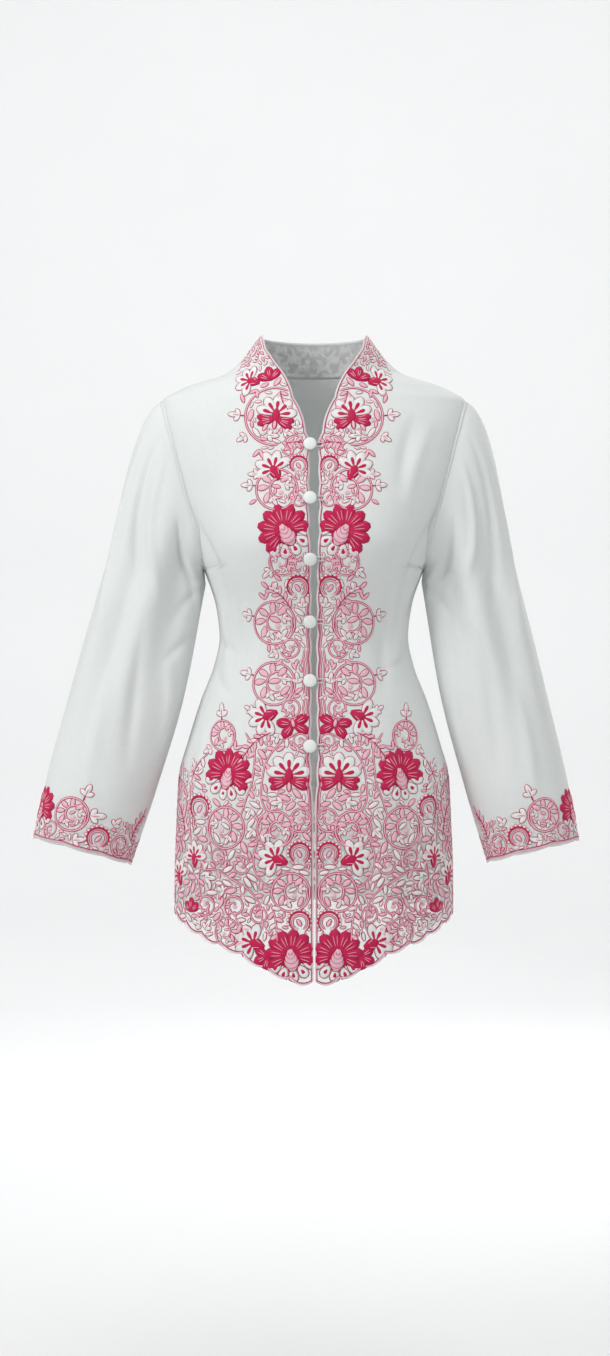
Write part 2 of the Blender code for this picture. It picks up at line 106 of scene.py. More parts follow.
EDGE = np.array([
    (-0.790, 0.0006),
    (-0.545, 0.0006),
    (-0.505, 0.0024),
    (-0.475, 0.0032),
    (-0.384, 0.0026),
    (-0.300, 0.0028),
    (-0.236, 0.0036),
    (-0.200, 0.0052),
    (-0.130, 0.0052),
    (-0.098, 0.0042),
    (-0.082, 0.0075),
    (-0.057, 0.0150),
    (-0.035, 0.0230),
    (-0.009, 0.0355),
    (0.012, 0.0490),
    (0.030, 0.0575),
    (0.046, 0.0640),
])
EDGE_LOBE_COLUMNS = ("z", "depth")
EDGE_LOBES = np.array([
    (-0.545, 0.0000),
    (-0.505, 0.0018),
    (-0.098, 0.0018),
    (-0.070, 0.0034),
    (0.030, 0.0034),
    (0.046, 0.0000),
])
ARMHOLE_COLUMNS = ("z", "share")
ARMHOLE = np.array([
    (-0.245, 1.000),
    (-0.241, 0.984),
    (-0.233, 0.962),
    (-0.220, 0.942),
    (-0.190, 0.916),
    (-0.150, 0.914),
    (-0.126, 0.918),
    (-0.095, 0.926),
    (-0.065, 0.946),
    (-0.045, 0.978),
    (-0.036, 1.000),
])
HEM_COLUMNS = ("x", "z")
HEM = np.array([
    (0.000, -0.7480),
    (0.012, -0.7485),
    (0.034, -0.7430),
    (0.050, -0.7350),
    (0.070, -0.7260),
    (0.084, -0.7175),
    (0.103, -0.7090),
    (0.125, -0.7010),
    (0.146, -0.6900),
    (0.156, -0.6840),
    (0.166, -0.6760),
    (0.173, -0.6700),
])
BUST_X = 0.072
BUST_Z = -0.222
BUST_REACH = 0.050
BUST_RISE = 0.0080
# Soft folds of the body: angle from the front in degrees, height from and to, spread, rise.
BODY_FOLDS = np.array([
    (58.0, -0.330, -0.190, 5.0, -0.0030),
    (68.0, -0.350, -0.230, 4.5, 0.0028),
    (38.0, -0.400, -0.265, 7.0, -0.0024),
    (142.0, -0.430, -0.230, 8.0, -0.0035),
    (118.0, -0.390, -0.250, 6.0, -0.0026),
    (32.0, -0.700, -0.560, 8.0, 0.0026),
    (75.0, -0.700, -0.520, 7.0, 0.0030),
    (108.0, -0.690, -0.520, 8.0, 0.0032),
    (150.0, -0.690, -0.540, 9.0, 0.0034),
])
SLEEVE_COLUMNS = ("x", "y", "z", "half_width", "half_depth")
SLEEVE = np.array([
    (0.1975, -0.002, -0.2510, 0.0620, 0.0560),
    (0.2315, -0.011, -0.4030, 0.0680, 0.0580),
    (0.2570, -0.020, -0.4980, 0.0665, 0.0550),
    (0.2815, -0.030, -0.5930, 0.0615, 0.0480),
])
# Soft folds of a sleeve: angle in degrees, start and end along it, spread, rise.
SLEEVE_FOLDS = np.array([
    (40.0, 0.10, 0.84, 15.0, 0.0044),
    (66.0, 0.04, 0.90, 13.0, -0.0066),
    (92.0, 0.10, 0.76, 14.0, 0.0060),
    (120.0, 0.04, 0.68, 14.0, -0.0078),
    (148.0, 0.14, 0.94, 15.0, 0.0044),
    (215.0, 0.08, 0.70, 16.0, -0.0064),
    (248.0, 0.06, 0.88, 16.0, 0.0056),
    (290.0, 0.04, 0.74, 15.0, -0.0060),
    (322.0, 0.12, 0.94, 15.0, 0.0040),
])
CAP_LEAVES = 0.17
CAP_ARRIVES = 0.34
CAP_DROP = 0.35
UNDERARM_DROP = 0.65
CAP_SPREAD = 0.30
CAP_SHARE = 1 / 3
CUFF_LOBES = 8
CUFF_LOBE_DEPTH = 0.0022
HANG = {"left": (0.93, 0.93, -0.0045), "right": (1.06, 1.00, 0.0)}
ARMHOLE_GATHER = 0.55
AXIS_STEP = 0.02
SIDES = {"left": 1, "right": -1}

# Creases that the solids don't have. Each is a line on the cloth between two places, given by
# the distance from the middle of the front (or round the arm from its outside) and the height
# (or the distance down the sleeve). Side: 1 the wearer's left, -1 the right, 0 both.
# Columns: side, along, at, to along, to at, spread, rise, bow.
BODY_CREASES = np.array([
    (0, 0.172, -0.168, 0.118, -0.262, 0.0070, -0.0030, 0.006),
    (0, 0.186, -0.190, 0.134, -0.300, 0.0055, 0.0022, 0.005),
    (-1, 0.176, -0.214, 0.128, -0.330, 0.0050, -0.0024, 0.004),
    (1, 0.180, -0.224, 0.120, -0.318, 0.0052, -0.0022, 0.006),
    (0, 0.128, -0.052, 0.104, -0.160, 0.0085, -0.0016, -0.004),
    (1, 0.150, -0.060, 0.116, -0.180, 0.0080, 0.0014, -0.006),
    (-1, 0.146, -0.056, 0.128, -0.150, 0.0070, 0.0014, -0.005),
    (-1, 0.100, -0.250, 0.080, -0.392, 0.0075, -0.0022, 0.003),
    (1, 0.098, -0.262, 0.086, -0.408, 0.0080, -0.0020, -0.002),
    (-1, 0.126, -0.270, 0.110, -0.400, 0.0060, 0.0020, 0.004),
    (1, 0.124, -0.282, 0.104, -0.376, 0.0060, 0.0018, 0.002),
    (-1, 0.152, -0.322, 0.092, -0.352, 0.0050, -0.0018, 0.004),
    (1, 0.150, -0.334, 0.086, -0.372, 0.0055, -0.0017, 0.005),
    (-1, 0.148, -0.362, 0.098, -0.404, 0.0055, -0.0014, 0.004),
    (1, 0.152, -0.308, 0.108, -0.336, 0.0045, 0.0014, 0.003),
    (0, 0.102, -0.420, 0.118, -0.560, 0.0110, -0.0022, 0.004),
    (-1, 0.140, -0.430, 0.160, -0.590, 0.0090, 0.0024, 0.003),
    (1, 0.136, -0.452, 0.152, -0.610, 0.0095, 0.0022, 0.004),
    (-1, 0.060, -0.560, 0.066, -0.730, 0.0120, -0.0022, 0.002),
    (1, 0.066, -0.548, 0.078, -0.726, 0.0125, -0.0024, -0.003),
    (-1, 0.118, -0.575, 0.126, -0.705, 0.0100, -0.0026, 0.002),
    (1, 0.112, -0.590, 0.118, -0.705, 0.0100, -0.0022, 0.002),
    (0, 0.268, -0.120, 0.296, -0.300, 0.0090, -0.0028, 0.010),
    (-1, 0.300, -0.090, 0.318, -0.260, 0.0100, 0.0022, 0.006),
    (1, 0.294, -0.104, 0.322, -0.280, 0.0090, 0.0024, 0.008),
    (0, 0.250, -0.196, 0.286, -0.330, 0.0060, -0.0024, 0.006),
    (-1, 0.236, -0.322, 0.300, -0.360, 0.0055, -0.0020, 0.005),
    (1, 0.240, -0.338, 0.306, -0.384, 0.0060, -0.0018, 0.004),
    (0, 0.262, -0.420, 0.276, -0.600, 0.0100, 0.0026, 0.004),
    (-1, 0.312, -0.450, 0.330, -0.640, 0.0115, -0.0026, 0.005),
    (1, 0.322, -0.440, 0.350, -0.650, 0.0115, -0.0028, 0.004),
])
SLEEVE_REACH = 0.560
ARM_ROUND = 0.360
SLEEVE_CREASES = np.array([
    (0, 0.020, 0.030, 0.050, 0.300, 0.0060, 0.0024, 0.008),
    (-1, 0.044, 0.016, 0.082, 0.236, 0.0050, -0.0034, 0.010),
    (1, 0.040, 0.020, 0.078, 0.262, 0.0052, -0.0032, 0.008),
    (-1, 0.062, 0.024, 0.112, 0.250, 0.0048, 0.0034, 0.008),
    (1, 0.066, 0.018, 0.108, 0.228, 0.0050, 0.0030, 0.010),
    (-1, 0.104, 0.062, 0.150, 0.222, 0.0050, -0.0034, 0.004),
    (1, 0.100, 0.070, 0.146, 0.236, 0.0052, -0.0036, 0.005),
    (-1, 0.130, 0.110, 0.172, 0.262, 0.0056, 0.0028, 0.004),
    (1, 0.132, 0.120, 0.168, 0.250, 0.0056, 0.0028, 0.004),
    (-1, 0.092, 0.236, 0.116, 0.452, 0.0070, -0.0034, 0.004),
    (1, 0.096, 0.260, 0.112, 0.470, 0.0075, -0.0032, 0.005),
    (-1, 0.068, 0.300, 0.082, 0.500, 0.0080, 0.0024, 0.004),
    (1, 0.064, 0.320, 0.080, 0.520, 0.0080, 0.0024, 0.003),
    (-1, 0.126, 0.280, 0.150, 0.420, 0.0060, 0.0026, -0.004),
    (1, 0.132, 0.300, 0.148, 0.440, 0.0065, 0.0024, -0.003),
    (0, 0.162, 0.180, 0.120, 0.262, 0.0048, -0.0022, 0.006),
    (-1, 0.170, 0.240, 0.122, 0.306, 0.0052, -0.0020, 0.005),
    (0, 0.214, 0.080, 0.252, 0.320, 0.0070, -0.0032, 0.006),
    (-1, 0.250, 0.060, 0.284, 0.280, 0.0064, 0.0030, 0.006),
    (1, 0.244, 0.050, 0.290, 0.300, 0.0066, 0.0032, 0.008),
    (-1, 0.286, 0.100, 0.306, 0.360, 0.0070, -0.0030, 0.004),
    (1, 0.290, 0.090, 0.312, 0.340, 0.0070, -0.0028, 0.004),
    (0, 0.326, 0.200, 0.338, 0.480, 0.0090, 0.0022, 0.003),
    (0, 0.230, 0.330, 0.246, 0.520, 0.0085, 0.0024, 0.004),
])
CREASE_FADE = 1.1
CREASE_DEPTH = 1.6

BUTTON_HEIGHTS = (-0.0980, -0.1643, -0.2362, -0.3112, -0.3840, -0.4628)
BUTTON_X = -0.0050
BUTTON_RADIUS = 0.0080
BUTTON_RIM = 0.0037
BUTTON_TOP = 0.0062
SHANK_RADIUS = 0.0014
REST_GAP = 0.0003
LOOP_THICKNESS = 0.0013
LOOP_LIFT = 0.0010
LOOP_ROOT_X = 0.0115
LOOP_BEND_X = 0.0035
LOOP_HALF_HEIGHT = 0.0024

# How fine the cloth and its maps are.
FRONT_ACROSS = 48
BACK_ACROSS = 44
HEM_ROWS = 60
BODY_ROWS = 140
SHOULDER_ROWS = 34
COLLAR_ROWS = 14
SLEEVE_ACROSS = 120
CAP_RINGS = 32
ARM_RINGS = 96
MAP_STEP = 0.002
MEASURING_ANGLES = 361
SMALL_TURN = 0.004
SMALL_RISE = 0.001
LEAST = 1e-12

# Embroidery: heights of the stitches over the cloth, widths of rims and cords.
SINK = 0.00012
RIM = 0.0008
LEAF_RIM = 0.0007
RIM_HEIGHT = 0.00040
FILL_HEIGHT = 0.00075
TOP_HEIGHT = 0.00105
CORD_WIDTH = 0.0035
CORD_CORE = 0.56
VINE_WIDTH = 0.0029
PETAL_STEPS = 7
CORD_STEPS = 29
SCROLL_STEPS = 49
PROFILE_ACROSS = np.array([-1.0, -0.55, 0.55, 1.0])
PROFILE_LIFT = np.array([0.0, 0.95, 0.95, 0.0])
HOLD_MARGIN = 0.0009
OVERLAP = 0.00030
VEIN = 0.0010
SHELL_LINE = 0.00045
TOOTH_RIM = 0.0005
SPRIG_PITCH = 0.0092
SPRIG_LEAF = 0.0098

# Millimetres to a metre, for the tables that are written in millimetres.
MILLIMETRES = 1000
# The maps of the cloth: how far along and how low they go. In the skirt border the side seam
# is 0.241 to 0.244 along a front, past its map, so stitches beyond the map lie on its edge.
MEASURE_FROM = -0.800
LOWEST_Z = -0.790
FRONT_MAP = (0.23, -0.776)
BACK_MAP = (0.25, -0.700)
# Satin lines: thread, distance from the edge or hem, half width.
EDGE_LINES = (("pink", 0.0014, 0.0009), ("rose", 0.0027, 0.0005))
HEM_LINES = (("pink", 0.0016, 0.0012), ("rose", 0.0033, 0.0006))
BACK_HEM_LINES = (("white", 0.0005, 0.0012), ("rose", 0.0026, 0.0006))
CUFF_LINES = (("pink", 0.0022, 0.0011), ("rose", 0.0041, 0.0005))
# The same for the collar band, with the height of each line.
COLLAR_LINES = (("white", 0.0438, 0.0010), ("rose", 0.0422, 0.0005), ("rose", 0.0045, 0.0007))
# Where the lines run: from, to and how many places.
EDGE_RUN = (COLLAR_TOP_Z - 0.001, -0.744, 420)
HEM_RUN = (0.0015, 0.241, 205)
BACK_HEM_RUN = (0.001, 0.242, 210)
COLLAR_RUN = (0.0, 0.13, 120)
CUFF_RUN = (0, ARM_ROUND, 300)
BACK_LINES_RISE = 0.0035
# How far stitches keep from a hem, over the margin that they keep everywhere.
FRONT_HEM_ROOM = 0.0006
BACK_HEM_ROOM = 0.0016
# Leaves of the collar band: places along it, rows up it, sizes, turns in degrees.
COLLAR_LEAVES = (0.000, 0.125, 0.0095)
COLLAR_LEAF_ROWS = (0.0105, 0.0205, 0.0305, 0.0395)
COLLAR_LEAF_SHIFT = 0.0048
COLLAR_SPLIT_SIZE = 0.0075
COLLAR_PINK_SIZE = 0.0080
COLLAR_FIRST_TURN = 60
COLLAR_NEXT_TURN = 37

# The border of one front, in millimetres and degrees: distance from the middle along the
# cloth, height, size, turn (0 points away from the middle) and whether it is mirrored.
FRONT_BORDER = (
    ("side_flower", 80, -16, 20, 12, 0),
    ("trefoil", 54, -15, 17, 75, 0),
    ("pink_pair", 70, -28, 10, -60, 0),
    ("sprig", 41, -30, 26, -112, 0),
    ("fan_flower", 46, -60, 25, 8, 0),
    ("big_ring", 48, -62, 36, 0, 0),
    ("tip_leaf", 91, -60, 13, 8, 0),
    ("pink_leaf", 86, -44, 11, 70, 0),
    ("split_leaf", 83, -86, 13, -30, 0),
    ("sprig", 34, -96, 38, 8, 1),
    ("pink_pair", 66, -104, 11, -80, 0),
    ("small_scroll", 26, -97, 15, 90, 0),
    ("split_leaf", 36, -82, 11, 200, 0),
    ("split_leaf", 19, -78, 11, 80, 0),
    ("pink_leaf", 62, -80, 11, 120, 0),
    ("side_flower", 49, -128, 23, 62, 0),
    ("split_leaf", 68, -134, 12, 0, 0),
    ("c_curl", 19, -123, 14, 0, 0),
    ("split_leaf", 32, -135, 9, 240, 0),
    ("scroll", 45, -153, 25, 0, 0),
    ("tip_leaf", 75, -148, 12, 4, 0),
    ("pink_leaf", 70, -166, 9, -30, 0),
    ("small_scroll", 19, -165, 12, 60, 1),
    ("split_leaf", 12, -147, 10, 100, 0),
    ("big_flower", 36, -203, 32, -32, 0),
    ("small_scroll", 18, -246, 14, 180, 0),
    ("scroll", 38, -240, 16, 0, 1),
    ("split_leaf", 52, -250, 13, -40, 0),
    ("split_leaf", 32, -262, 10, -120, 0),
    ("c_curl", 20, -270, 17, 0, 0),
    ("pink_leaf", 40, -262, 10, 40, 0),
    ("sprig", 28, -296, 38, 42, 0),
    ("split_leaf", 50, -276, 13, 110, 0),
    ("pink_pair", 60, -284, 10, 80, 0),
    ("scroll", 49, -313, 26, 0, 0),
    ("tip_leaf", 79, -304, 13, 10, 0),
    ("split_leaf", 14, -294, 12, 90, 0),
    ("split_leaf", 19, -318, 12, 60, 1),
    ("small_scroll", 29, -343, 13, 90, 0),
    ("split_leaf", 44, -350, 12, -20, 0),
    ("pink_leaf", 20, -358, 10, -70, 0),
    ("pink_leaf", 38, -358, 10, -40, 0),
    ("scroll", 49, -387, 26, 0, 0),
    ("tip_leaf", 79, -376, 13, 12, 0),
    ("split_leaf", 19, -386, 13, 80, 0),
    ("pink_leaf", 22, -370, 9, 60, 0),
    ("small_scroll", 29, -416, 13, 60, 0),
    ("split_leaf", 14, -402, 9, 200, 0),
    ("side_flower", 58, -427, 23, -24, 0),
    ("split_leaf", 76, -420, 11, 30, 0),
    ("bow", 25, -436, 20, -12, 0),
    ("sprig", 52, -446, 48, -42, 0),
    ("split_leaf", 42, -448, 12, -70, 0),
    ("tip_leaf", 118, -427, 14, 86, 0),
    ("scroll", 116, -450, 18, 0, 0),
    ("split_leaf", 132, -466, 12, -30, 0),
    ("pink_pair", 98, -466, 10, 130, 0),
    ("big_flower", 107, -496, 31, 16, 0),
    ("tip_leaf", 158, -492, 13, 60, 0),
    ("pink_leaf", 146, -504, 11, 30, 0),
    ("fan_flower", 30, -497, 27, 0, 0),
    ("small_scroll", 17, -456, 10, 0, 0),
    ("c_curl", 147, -538, 18, 0, 1),
    ("scroll", 110, -561, 25, 0, 1),
    ("small_scroll", 17, -549, 16, 90, 0),
    ("scroll", 47, -562, 22, 30, 0),
    ("split_leaf", 76, -538, 14, -60, 0),
    ("c_curl", 18, -590, 16, 0, 0),
    ("side_flower", 46, -597, 23, 20, 0),
    ("side_flower", 158, -598, 20, 90, 0),
    ("small_scroll", 122, -597, 11, 0, 0),
    ("small_scroll", 89, -606, 12, 120, 1),
    ("scroll", 28, -637, 23, 0, 0),
    ("small_scroll", 140, -655, 13, 60, 0),
    ("small_scroll", 97, -655, 14, 0, 1),
    ("small_scroll", 66, -664, 12, 200, 0),
    ("c_curl", 18, -672, 16, 0, 0),
    ("scroll", 108, -686, 17, 0, 1),
    ("split_leaf", 139, -684, 13, 120, 0),
    ("trefoil", 164, -664, 16, 90, 0),
    ("side_flower", 74, -698, 23, 20, 0),
    ("big_flower", 28, -712, 31, -8, 0),
    ("trefoil", 56, -714, 17, -24, 0),
    ("scroll", 198, -530, 24, 0, 0),
    ("tip_leaf", 204, -502, 12, 84, 0),
    ("c_curl", 230, -512, 14, 0, 1),
    ("split_leaf", 180, -506, 13, 110, 0),
    ("sprig", 178, -572, 36, 66, 0),
    ("scroll", 214, -580, 23, 0, 1),
    ("split_leaf", 184, -600, 13, 200, 0),
    ("side_flower", 192, -622, 20, 70, 0),
    ("small_scroll", 222, -616, 12, 0, 0),
    ("split_leaf", 236, -548, 13, 100, 0),
    ("split_leaf", 236, -606, 12, 80, 0),
    ("small_scroll", 218, -643, 12, 60, 0),
)
# Vines of one front: places they pass, in millimetres (distance along, height).
VINES = (
    ((20, -446), (44, -462), (60, -488), (64, -520), (54, -545), (40, -556)),
    ((84, -446), (72, -470), (74, -500), (84, -530), (90, -548)),
    ((134, -470), (150, -486), (164, -512), (166, -545), (164, -580)),
    ((156, -612), (128, -612), (100, -622), (78, -636), (64, -658), (62, -682)),
    ((60, -560), (70, -580), (74, -602), (66, -622), (52, -632)),
    ((128, -575), (140, -590), (150, -625), (146, -650)),
    ((52, -650), (46, -672), (44, -696)),
    ((96, -668), (86, -684), (88, -704)),
    ((172, -548), (180, -562), (188, -582), (204, -604), (206, -640)),
    ((226, -530), (236, -560), (238, -600), (232, -640)),
)
# The back carries on the skirt border: heights of its motifs, and all the vines but two.
BACK_BORDER = (-658, -410)
BACK_VINES = VINES[:6] + VINES[8:]
# Cords beside the front edge: height from and to, in millimetres, and distance from the edge.
EDGE_CORDS = ((-288, -345, 5), (-345, -428, 5), (-345, -428, 9), (-470, -540, 5))
# The border of one half of a cuff: distance round from the outside of the arm, height up
# from the cuff's edge, size, turn and whether it is mirrored.
CUFF_FLOWER = (("big_flower", 20, 37, 27, 0, 0),)
CUFF_BORDER = (
    ("scroll", 70, 38, 20, 0, 1),
    ("tip_leaf", 81, 64, 13, 80, 0),
    ("small_scroll", 48, 15, 11, 0, 0),
    ("split_leaf", 92, 42, 17, 15, 0),
    ("split_leaf", 80, 9, 14, 20, 0),
    ("c_curl", 107, 19, 16, 0, 0),
    ("small_scroll", 136, 18, 14, 90, 0),
    ("sprig", 150, 26, 36, 72, 0),
    ("split_leaf", 120, 38, 12, 60, 0),
)
# Leaves that fill the ground of a border: half lengths, tried from the largest down, the room
# kept round each, and the pitch of the places that are tried.
FILL_REACHES = (0.0070, 0.0060, 0.0050, 0.0041, 0.0033, 0.0026)
FILL_ROOM = 0.00045
FILL_PITCH = 0.0026
FILL_JITTER = 0.0012
FILL_SHARE = 0.60
FILL_LEAN = 24
FILL_ALONG = (0.003, 0.245)
FILL_UP = (-0.745, 0.044)
COLLAR_FILL_Z = -0.012
# Shares of a leaf's half length: the room that its middle and its ends need, what it takes.
FILL_CLEAR = 0.54
FILL_END_CLEAR = 0.38
FILL_TAKES = 0.44
SPLIT_CLEAR = 0.74
SPLIT_CHANCE = 0.45
WHITE_CHANCE = 0.60
FILL_WIDTHS = {"white": 0.95, "pink": 1.05}
# How far the small leaves keep from edges.
FILL_FROM_EDGE = 0.0045
FILL_FROM_SEAM = 0.0020
FILL_FROM_HEM = 0.010
FILL_FROM_BACK_HEM = 0.005
# The cuff's leaves: foot, middle of the wavy top, its wave and pitch, and where they end.
CUFF_FILL = (0.006, 0.036, 0.010, 0.06, 0.178)
SEEDS = {"front": 7, "back": 11, "cuff_outside": 5, "cuff_behind": 6}
COLLAR_REACH = 0.0040
DENSE_TOP = -0.492
STRIP_COLUMNS = ("z", "width")
STRIP = np.array([
    (-0.492, 0.150),
    (-0.470, 0.094),
    (-0.452, 0.078),
    (-0.440, 0.060),
    (-0.360, 0.056),
    (-0.320, 0.058),
    (-0.290, 0.048),
    (-0.245, 0.044),
    (-0.200, 0.042),
    (-0.165, 0.052),
    (-0.120, 0.052),
    (-0.090, 0.068),
    (-0.060, 0.080),
    (-0.020, 0.088),
    (0.000, 0.104),
    (0.046, 0.104),
])

# Hem scallops fade upwards as this power of the share of the skirt's height.
HEM_FADE = 7

# The body's seams stop this far short of their ends, in so many steps.
SEAM_INSET = 0.001
SHOULDER_STEPS = 90
FLANK_STEPS = 220
SEAM_TURN = 0.02
SEAM_HALF = 0.0016
SEAM_RISE = 0.0006
ARMHOLE_LIFT = 0.0008
ARMHOLE_LAP = 0.0024
ARMHOLE_TUCK = 0.0003
ARMHOLE_TURN = 0.0004
BUTTON_AROUND = 56
BUTTON_GATHERS = 18
BUTTON_GATHER = 0.00014
LOOP_AROUND = 12
# A button's outline from its rim to its shank: radius and height.
BUTTON_UNDER = np.array([
    (0.0079, 0.0031),
    (0.0076, 0.0027),
    (0.0070, 0.0026),
    (0.0050, 0.0025),
    (0.0030, 0.0023),
    (SHANK_RADIUS, 0.0020),
    (SHANK_RADIUS, REST_GAP),
])
GATHER_Z = 0.0031
GATHER_SPREAD = 0.0010
GATHER_FROM = 0.004
DOME_RINGS = 14
LOOP_STRAIGHT = 8
LOOP_BEND = 19
THREADS = {
    "rose": (0.540, 0.016, 0.095),
    "pink": (0.920, 0.530, 0.620),
    "white": (0.880, 0.885, 0.870),
    "crimson": (0.570, 0.006, 0.078),
}

SHEER_FROM = -0.600
SHEER_TO = -0.500
# Pitches of the threads in the materials.
STITCH_PITCH = 0.00045
BUTTON_WEAVE = 0.00060
ROULEAU_WEAVE = 0.00055

CAMERA_PLACE = (-0.011, -3.0, -0.380)
CAMERA_LENS = 63.7
FLOOR_Z = -1.32
# The studio floor's profile: radius and rise.
BOWL = np.array([(2.0, 0.0), (4.0, 0.0), (5.0, 0.15), (5.8, 0.6), (6.3, 1.4), (6.5, 2.4), (6.5, 4.2)])
BOWL_AROUND = 96
# Studio lights: name, place, size across, watts.
LIGHTS = (
    ("key_light", -2.6, -2.0, 1.5, 1.6, 68.0),
    ("fill_light", 2.6, -2.2, 0.4, 2.6, 15.0),
    ("top_light", 0.1, -0.8, 2.3, 1.8, 28.0),
    ("rim_light", 1.8, 2.4, 1.0, 2.0, 24.0),
)
BACKDROP_LIGHT = ("backdrop_light", 0.0, 2.2, 2.6, 3.0, 110.0)
BACKDROP_AIM = (0.0, 6.5, -0.6)
BLOUSE_AIM = (0.0, 0.0, -0.35)


def gentle_slopes(x, y):
    """Slopes of a smooth curve through points that never overshoots them."""
    step = np.diff(x)
    rise = np.diff(y) / step
    slopes = np.concatenate([[rise[0]], np.zeros(len(x) - 2), [rise[-1]]])
    for i in range(1, len(x) - 1):
        if rise[i - 1] * rise[i] > 0:
            first = 2 * step[i] + step[i - 1]
            second = step[i] + 2 * step[i - 1]
            slopes[i] = (first + second) / (first / rise[i - 1] + second / rise[i])
    return slopes


def read(table, columns, name, at):
    """A column of a table as a smooth function of its first column (Hermite cubics)."""
    x = table[:, 0]
    y = table[:, columns.index(name)]
    slope = gentle_slopes(x, y)
    at = np.clip(np.asarray(at, float), x[0], x[-1])
    i = np.clip(np.searchsorted(x, at) - 1, 0, len(x) - 2)
    width = x[i + 1] - x[i]
    t = (at - x[i]) / width
    return (
        y[i] * (1 + 2 * t) * (1 - t) ** 2
        + slope[i] * width * t * (1 - t) ** 2
        + y[i + 1] * t * t * (3 - 2 * t)
        + slope[i + 1] * width * t * t * (t - 1)
    )


def body(name, z):
    return read(BODY, BODY_COLUMNS, name, z)


def swell(value, low, high):
    """A rise from 0 to 1 and back to 0 between two values, smooth at both ends."""
    t = np.clip((value - low) / (high - low), 0, 1)
    return np.sin(math.pi * t) ** 2


def lobes(along, pitch):
    """A row of rounded lobes: 0 where two meet, 1 at the crown of each."""
    return np.abs(np.sin(math.pi * along / pitch)) ** LOBE_ROUNDNESS


def unit(vectors):
    return vectors / np.maximum(np.linalg.norm(vectors, axis=-1, keepdims=True), LEAST)


def body_push(z, angle, x):
    """How far the cloth stands out of the plain section: bust shaping and folds."""
    away = ((np.abs(x) - BUST_X) ** 2 + (z - BUST_Z) ** 2) / BUST_REACH**2
    push = np.where(np.cos(angle) > 0, BUST_RISE * np.exp(-away), 0.0)
    degrees = np.degrees(np.arccos(np.cos(angle)))
    for at, low, high, spread, rise in BODY_FOLDS:
        push = push + rise * np.exp(-(((degrees - at) / spread) ** 2)) * swell(z, low, high)
    return push


def body_points(z, angle):
    """The body's inner face: a rounded outline at each height, pushed out by its folds."""
    z, angle = np.broadcast_arrays(np.asarray(z, float), np.asarray(angle, float))
    half_width = body("half_width", z)
    depth = np.where(np.cos(angle) > 0, body("front", z), body("back", z))
    share = 2 / body("power", z)
    x = half_width * np.sign(np.sin(angle)) * np.abs(np.sin(angle)) ** share
    y = -depth * np.sign(np.cos(angle)) * np.abs(np.cos(angle)) ** share
    out = unit(np.stack([x / half_width**2, y / depth**2], axis=-1))
    push = body_push(z, angle, x)
    return np.stack([x + push * out[..., 0], y + push * out[..., 1], z], axis=-1)


def angle_at_x(z, x):
    """The angle on the front where the section is this far from the middle."""
    return np.arcsin(np.clip(x / body("half_width", z), 0, 1) ** (body("power", z) / 2))


def outer_angle(z, side):
    """Where a panel ends at its side: half a gap short of the seam, or at the armhole."""
    power = body("power", z)
    turn = (SEAM_GAP / 2 / body(side, z)) ** (power / 2)
    seam = math.pi / 2 - np.arcsin(turn)
    share = read(ARMHOLE, ARMHOLE_COLUMNS, "share", z)
    inside = (z > UNDERARM_Z) & (z < SHOULDER_TIP_Z)
    return np.where(inside, np.minimum(seam, np.arcsin(share ** (power / 2))), seam)


def edge_away(z):
    """The front edge with its lobes, which grow where the neck opens."""
    away = read(EDGE, EDGE_COLUMNS, "away", z)
    depth = read(EDGE_LOBES, EDGE_LOBE_COLUMNS, "depth", z)
    return away + depth * (1 - lobes(z - away, EDGE_LOBE))


def hem_height(x):
    return read(HEM, HEM_COLUMNS, "z", np.abs(x))


def crease_rise(along, at, creases, side, around=0.0):
    """How far creases lift the cloth at places on it.

    Each crease is a bowed line between two places. Across the line its rise is a bell of the
    given spread, and along it the rise is half a sine wave, so that it fades at both ends.
    """
    rise = np.zeros(np.broadcast(along, at).shape)
    for which, a, b, c, d, spread, height, bow in creases:
        if which == -side:
            continue
        run = math.hypot(c - a, d - b)
        ahead = ((c - a) / run, (d - b) / run)
        off_a = along - a
        if around:
            off_a = (off_a + around / 2) % around - around / 2
        off_b = at - b
        t = np.clip((off_a * ahead[0] + off_b * ahead[1]) / run, 0, 1)
        wave = np.sin(math.pi * t)
        off = off_b * ahead[0] - off_a * ahead[1] - bow * wave
        rise += height * np.exp(-((off / spread) ** 2)) * np.abs(wave) ** CREASE_FADE
    return rise


class BodyMeasure:
    """Arc lengths round the body, from the middle of the front, at every height."""

    def __init__(self):
        self.z = np.arange(MEASURE_FROM, COLLAR_TOP_Z + MAP_STEP, MAP_STEP)
        self.angles = np.linspace(0, math.pi, MEASURING_ANGLES)
        points = body_points(self.z[:, None], self.angles[None, :])
        step = np.linalg.norm(np.diff(points, axis=1), axis=-1)
        self.arc = np.concatenate([np.zeros((len(self.z), 1)), np.cumsum(step, axis=1)], axis=1)
        self.most = self.arc.max()
        self.lengths = np.arange(0, self.most + MAP_STEP, MAP_STEP)
        self.turned = np.array([np.interp(self.lengths, row, self.angles) for row in self.arc])

    def arc_at(self, z, angle):
        return grid_read(self.arc, z, self.z, angle, self.angles)

    def angle_at(self, z, along):
        return grid_read(self.turned, z, self.z, along, self.lengths)


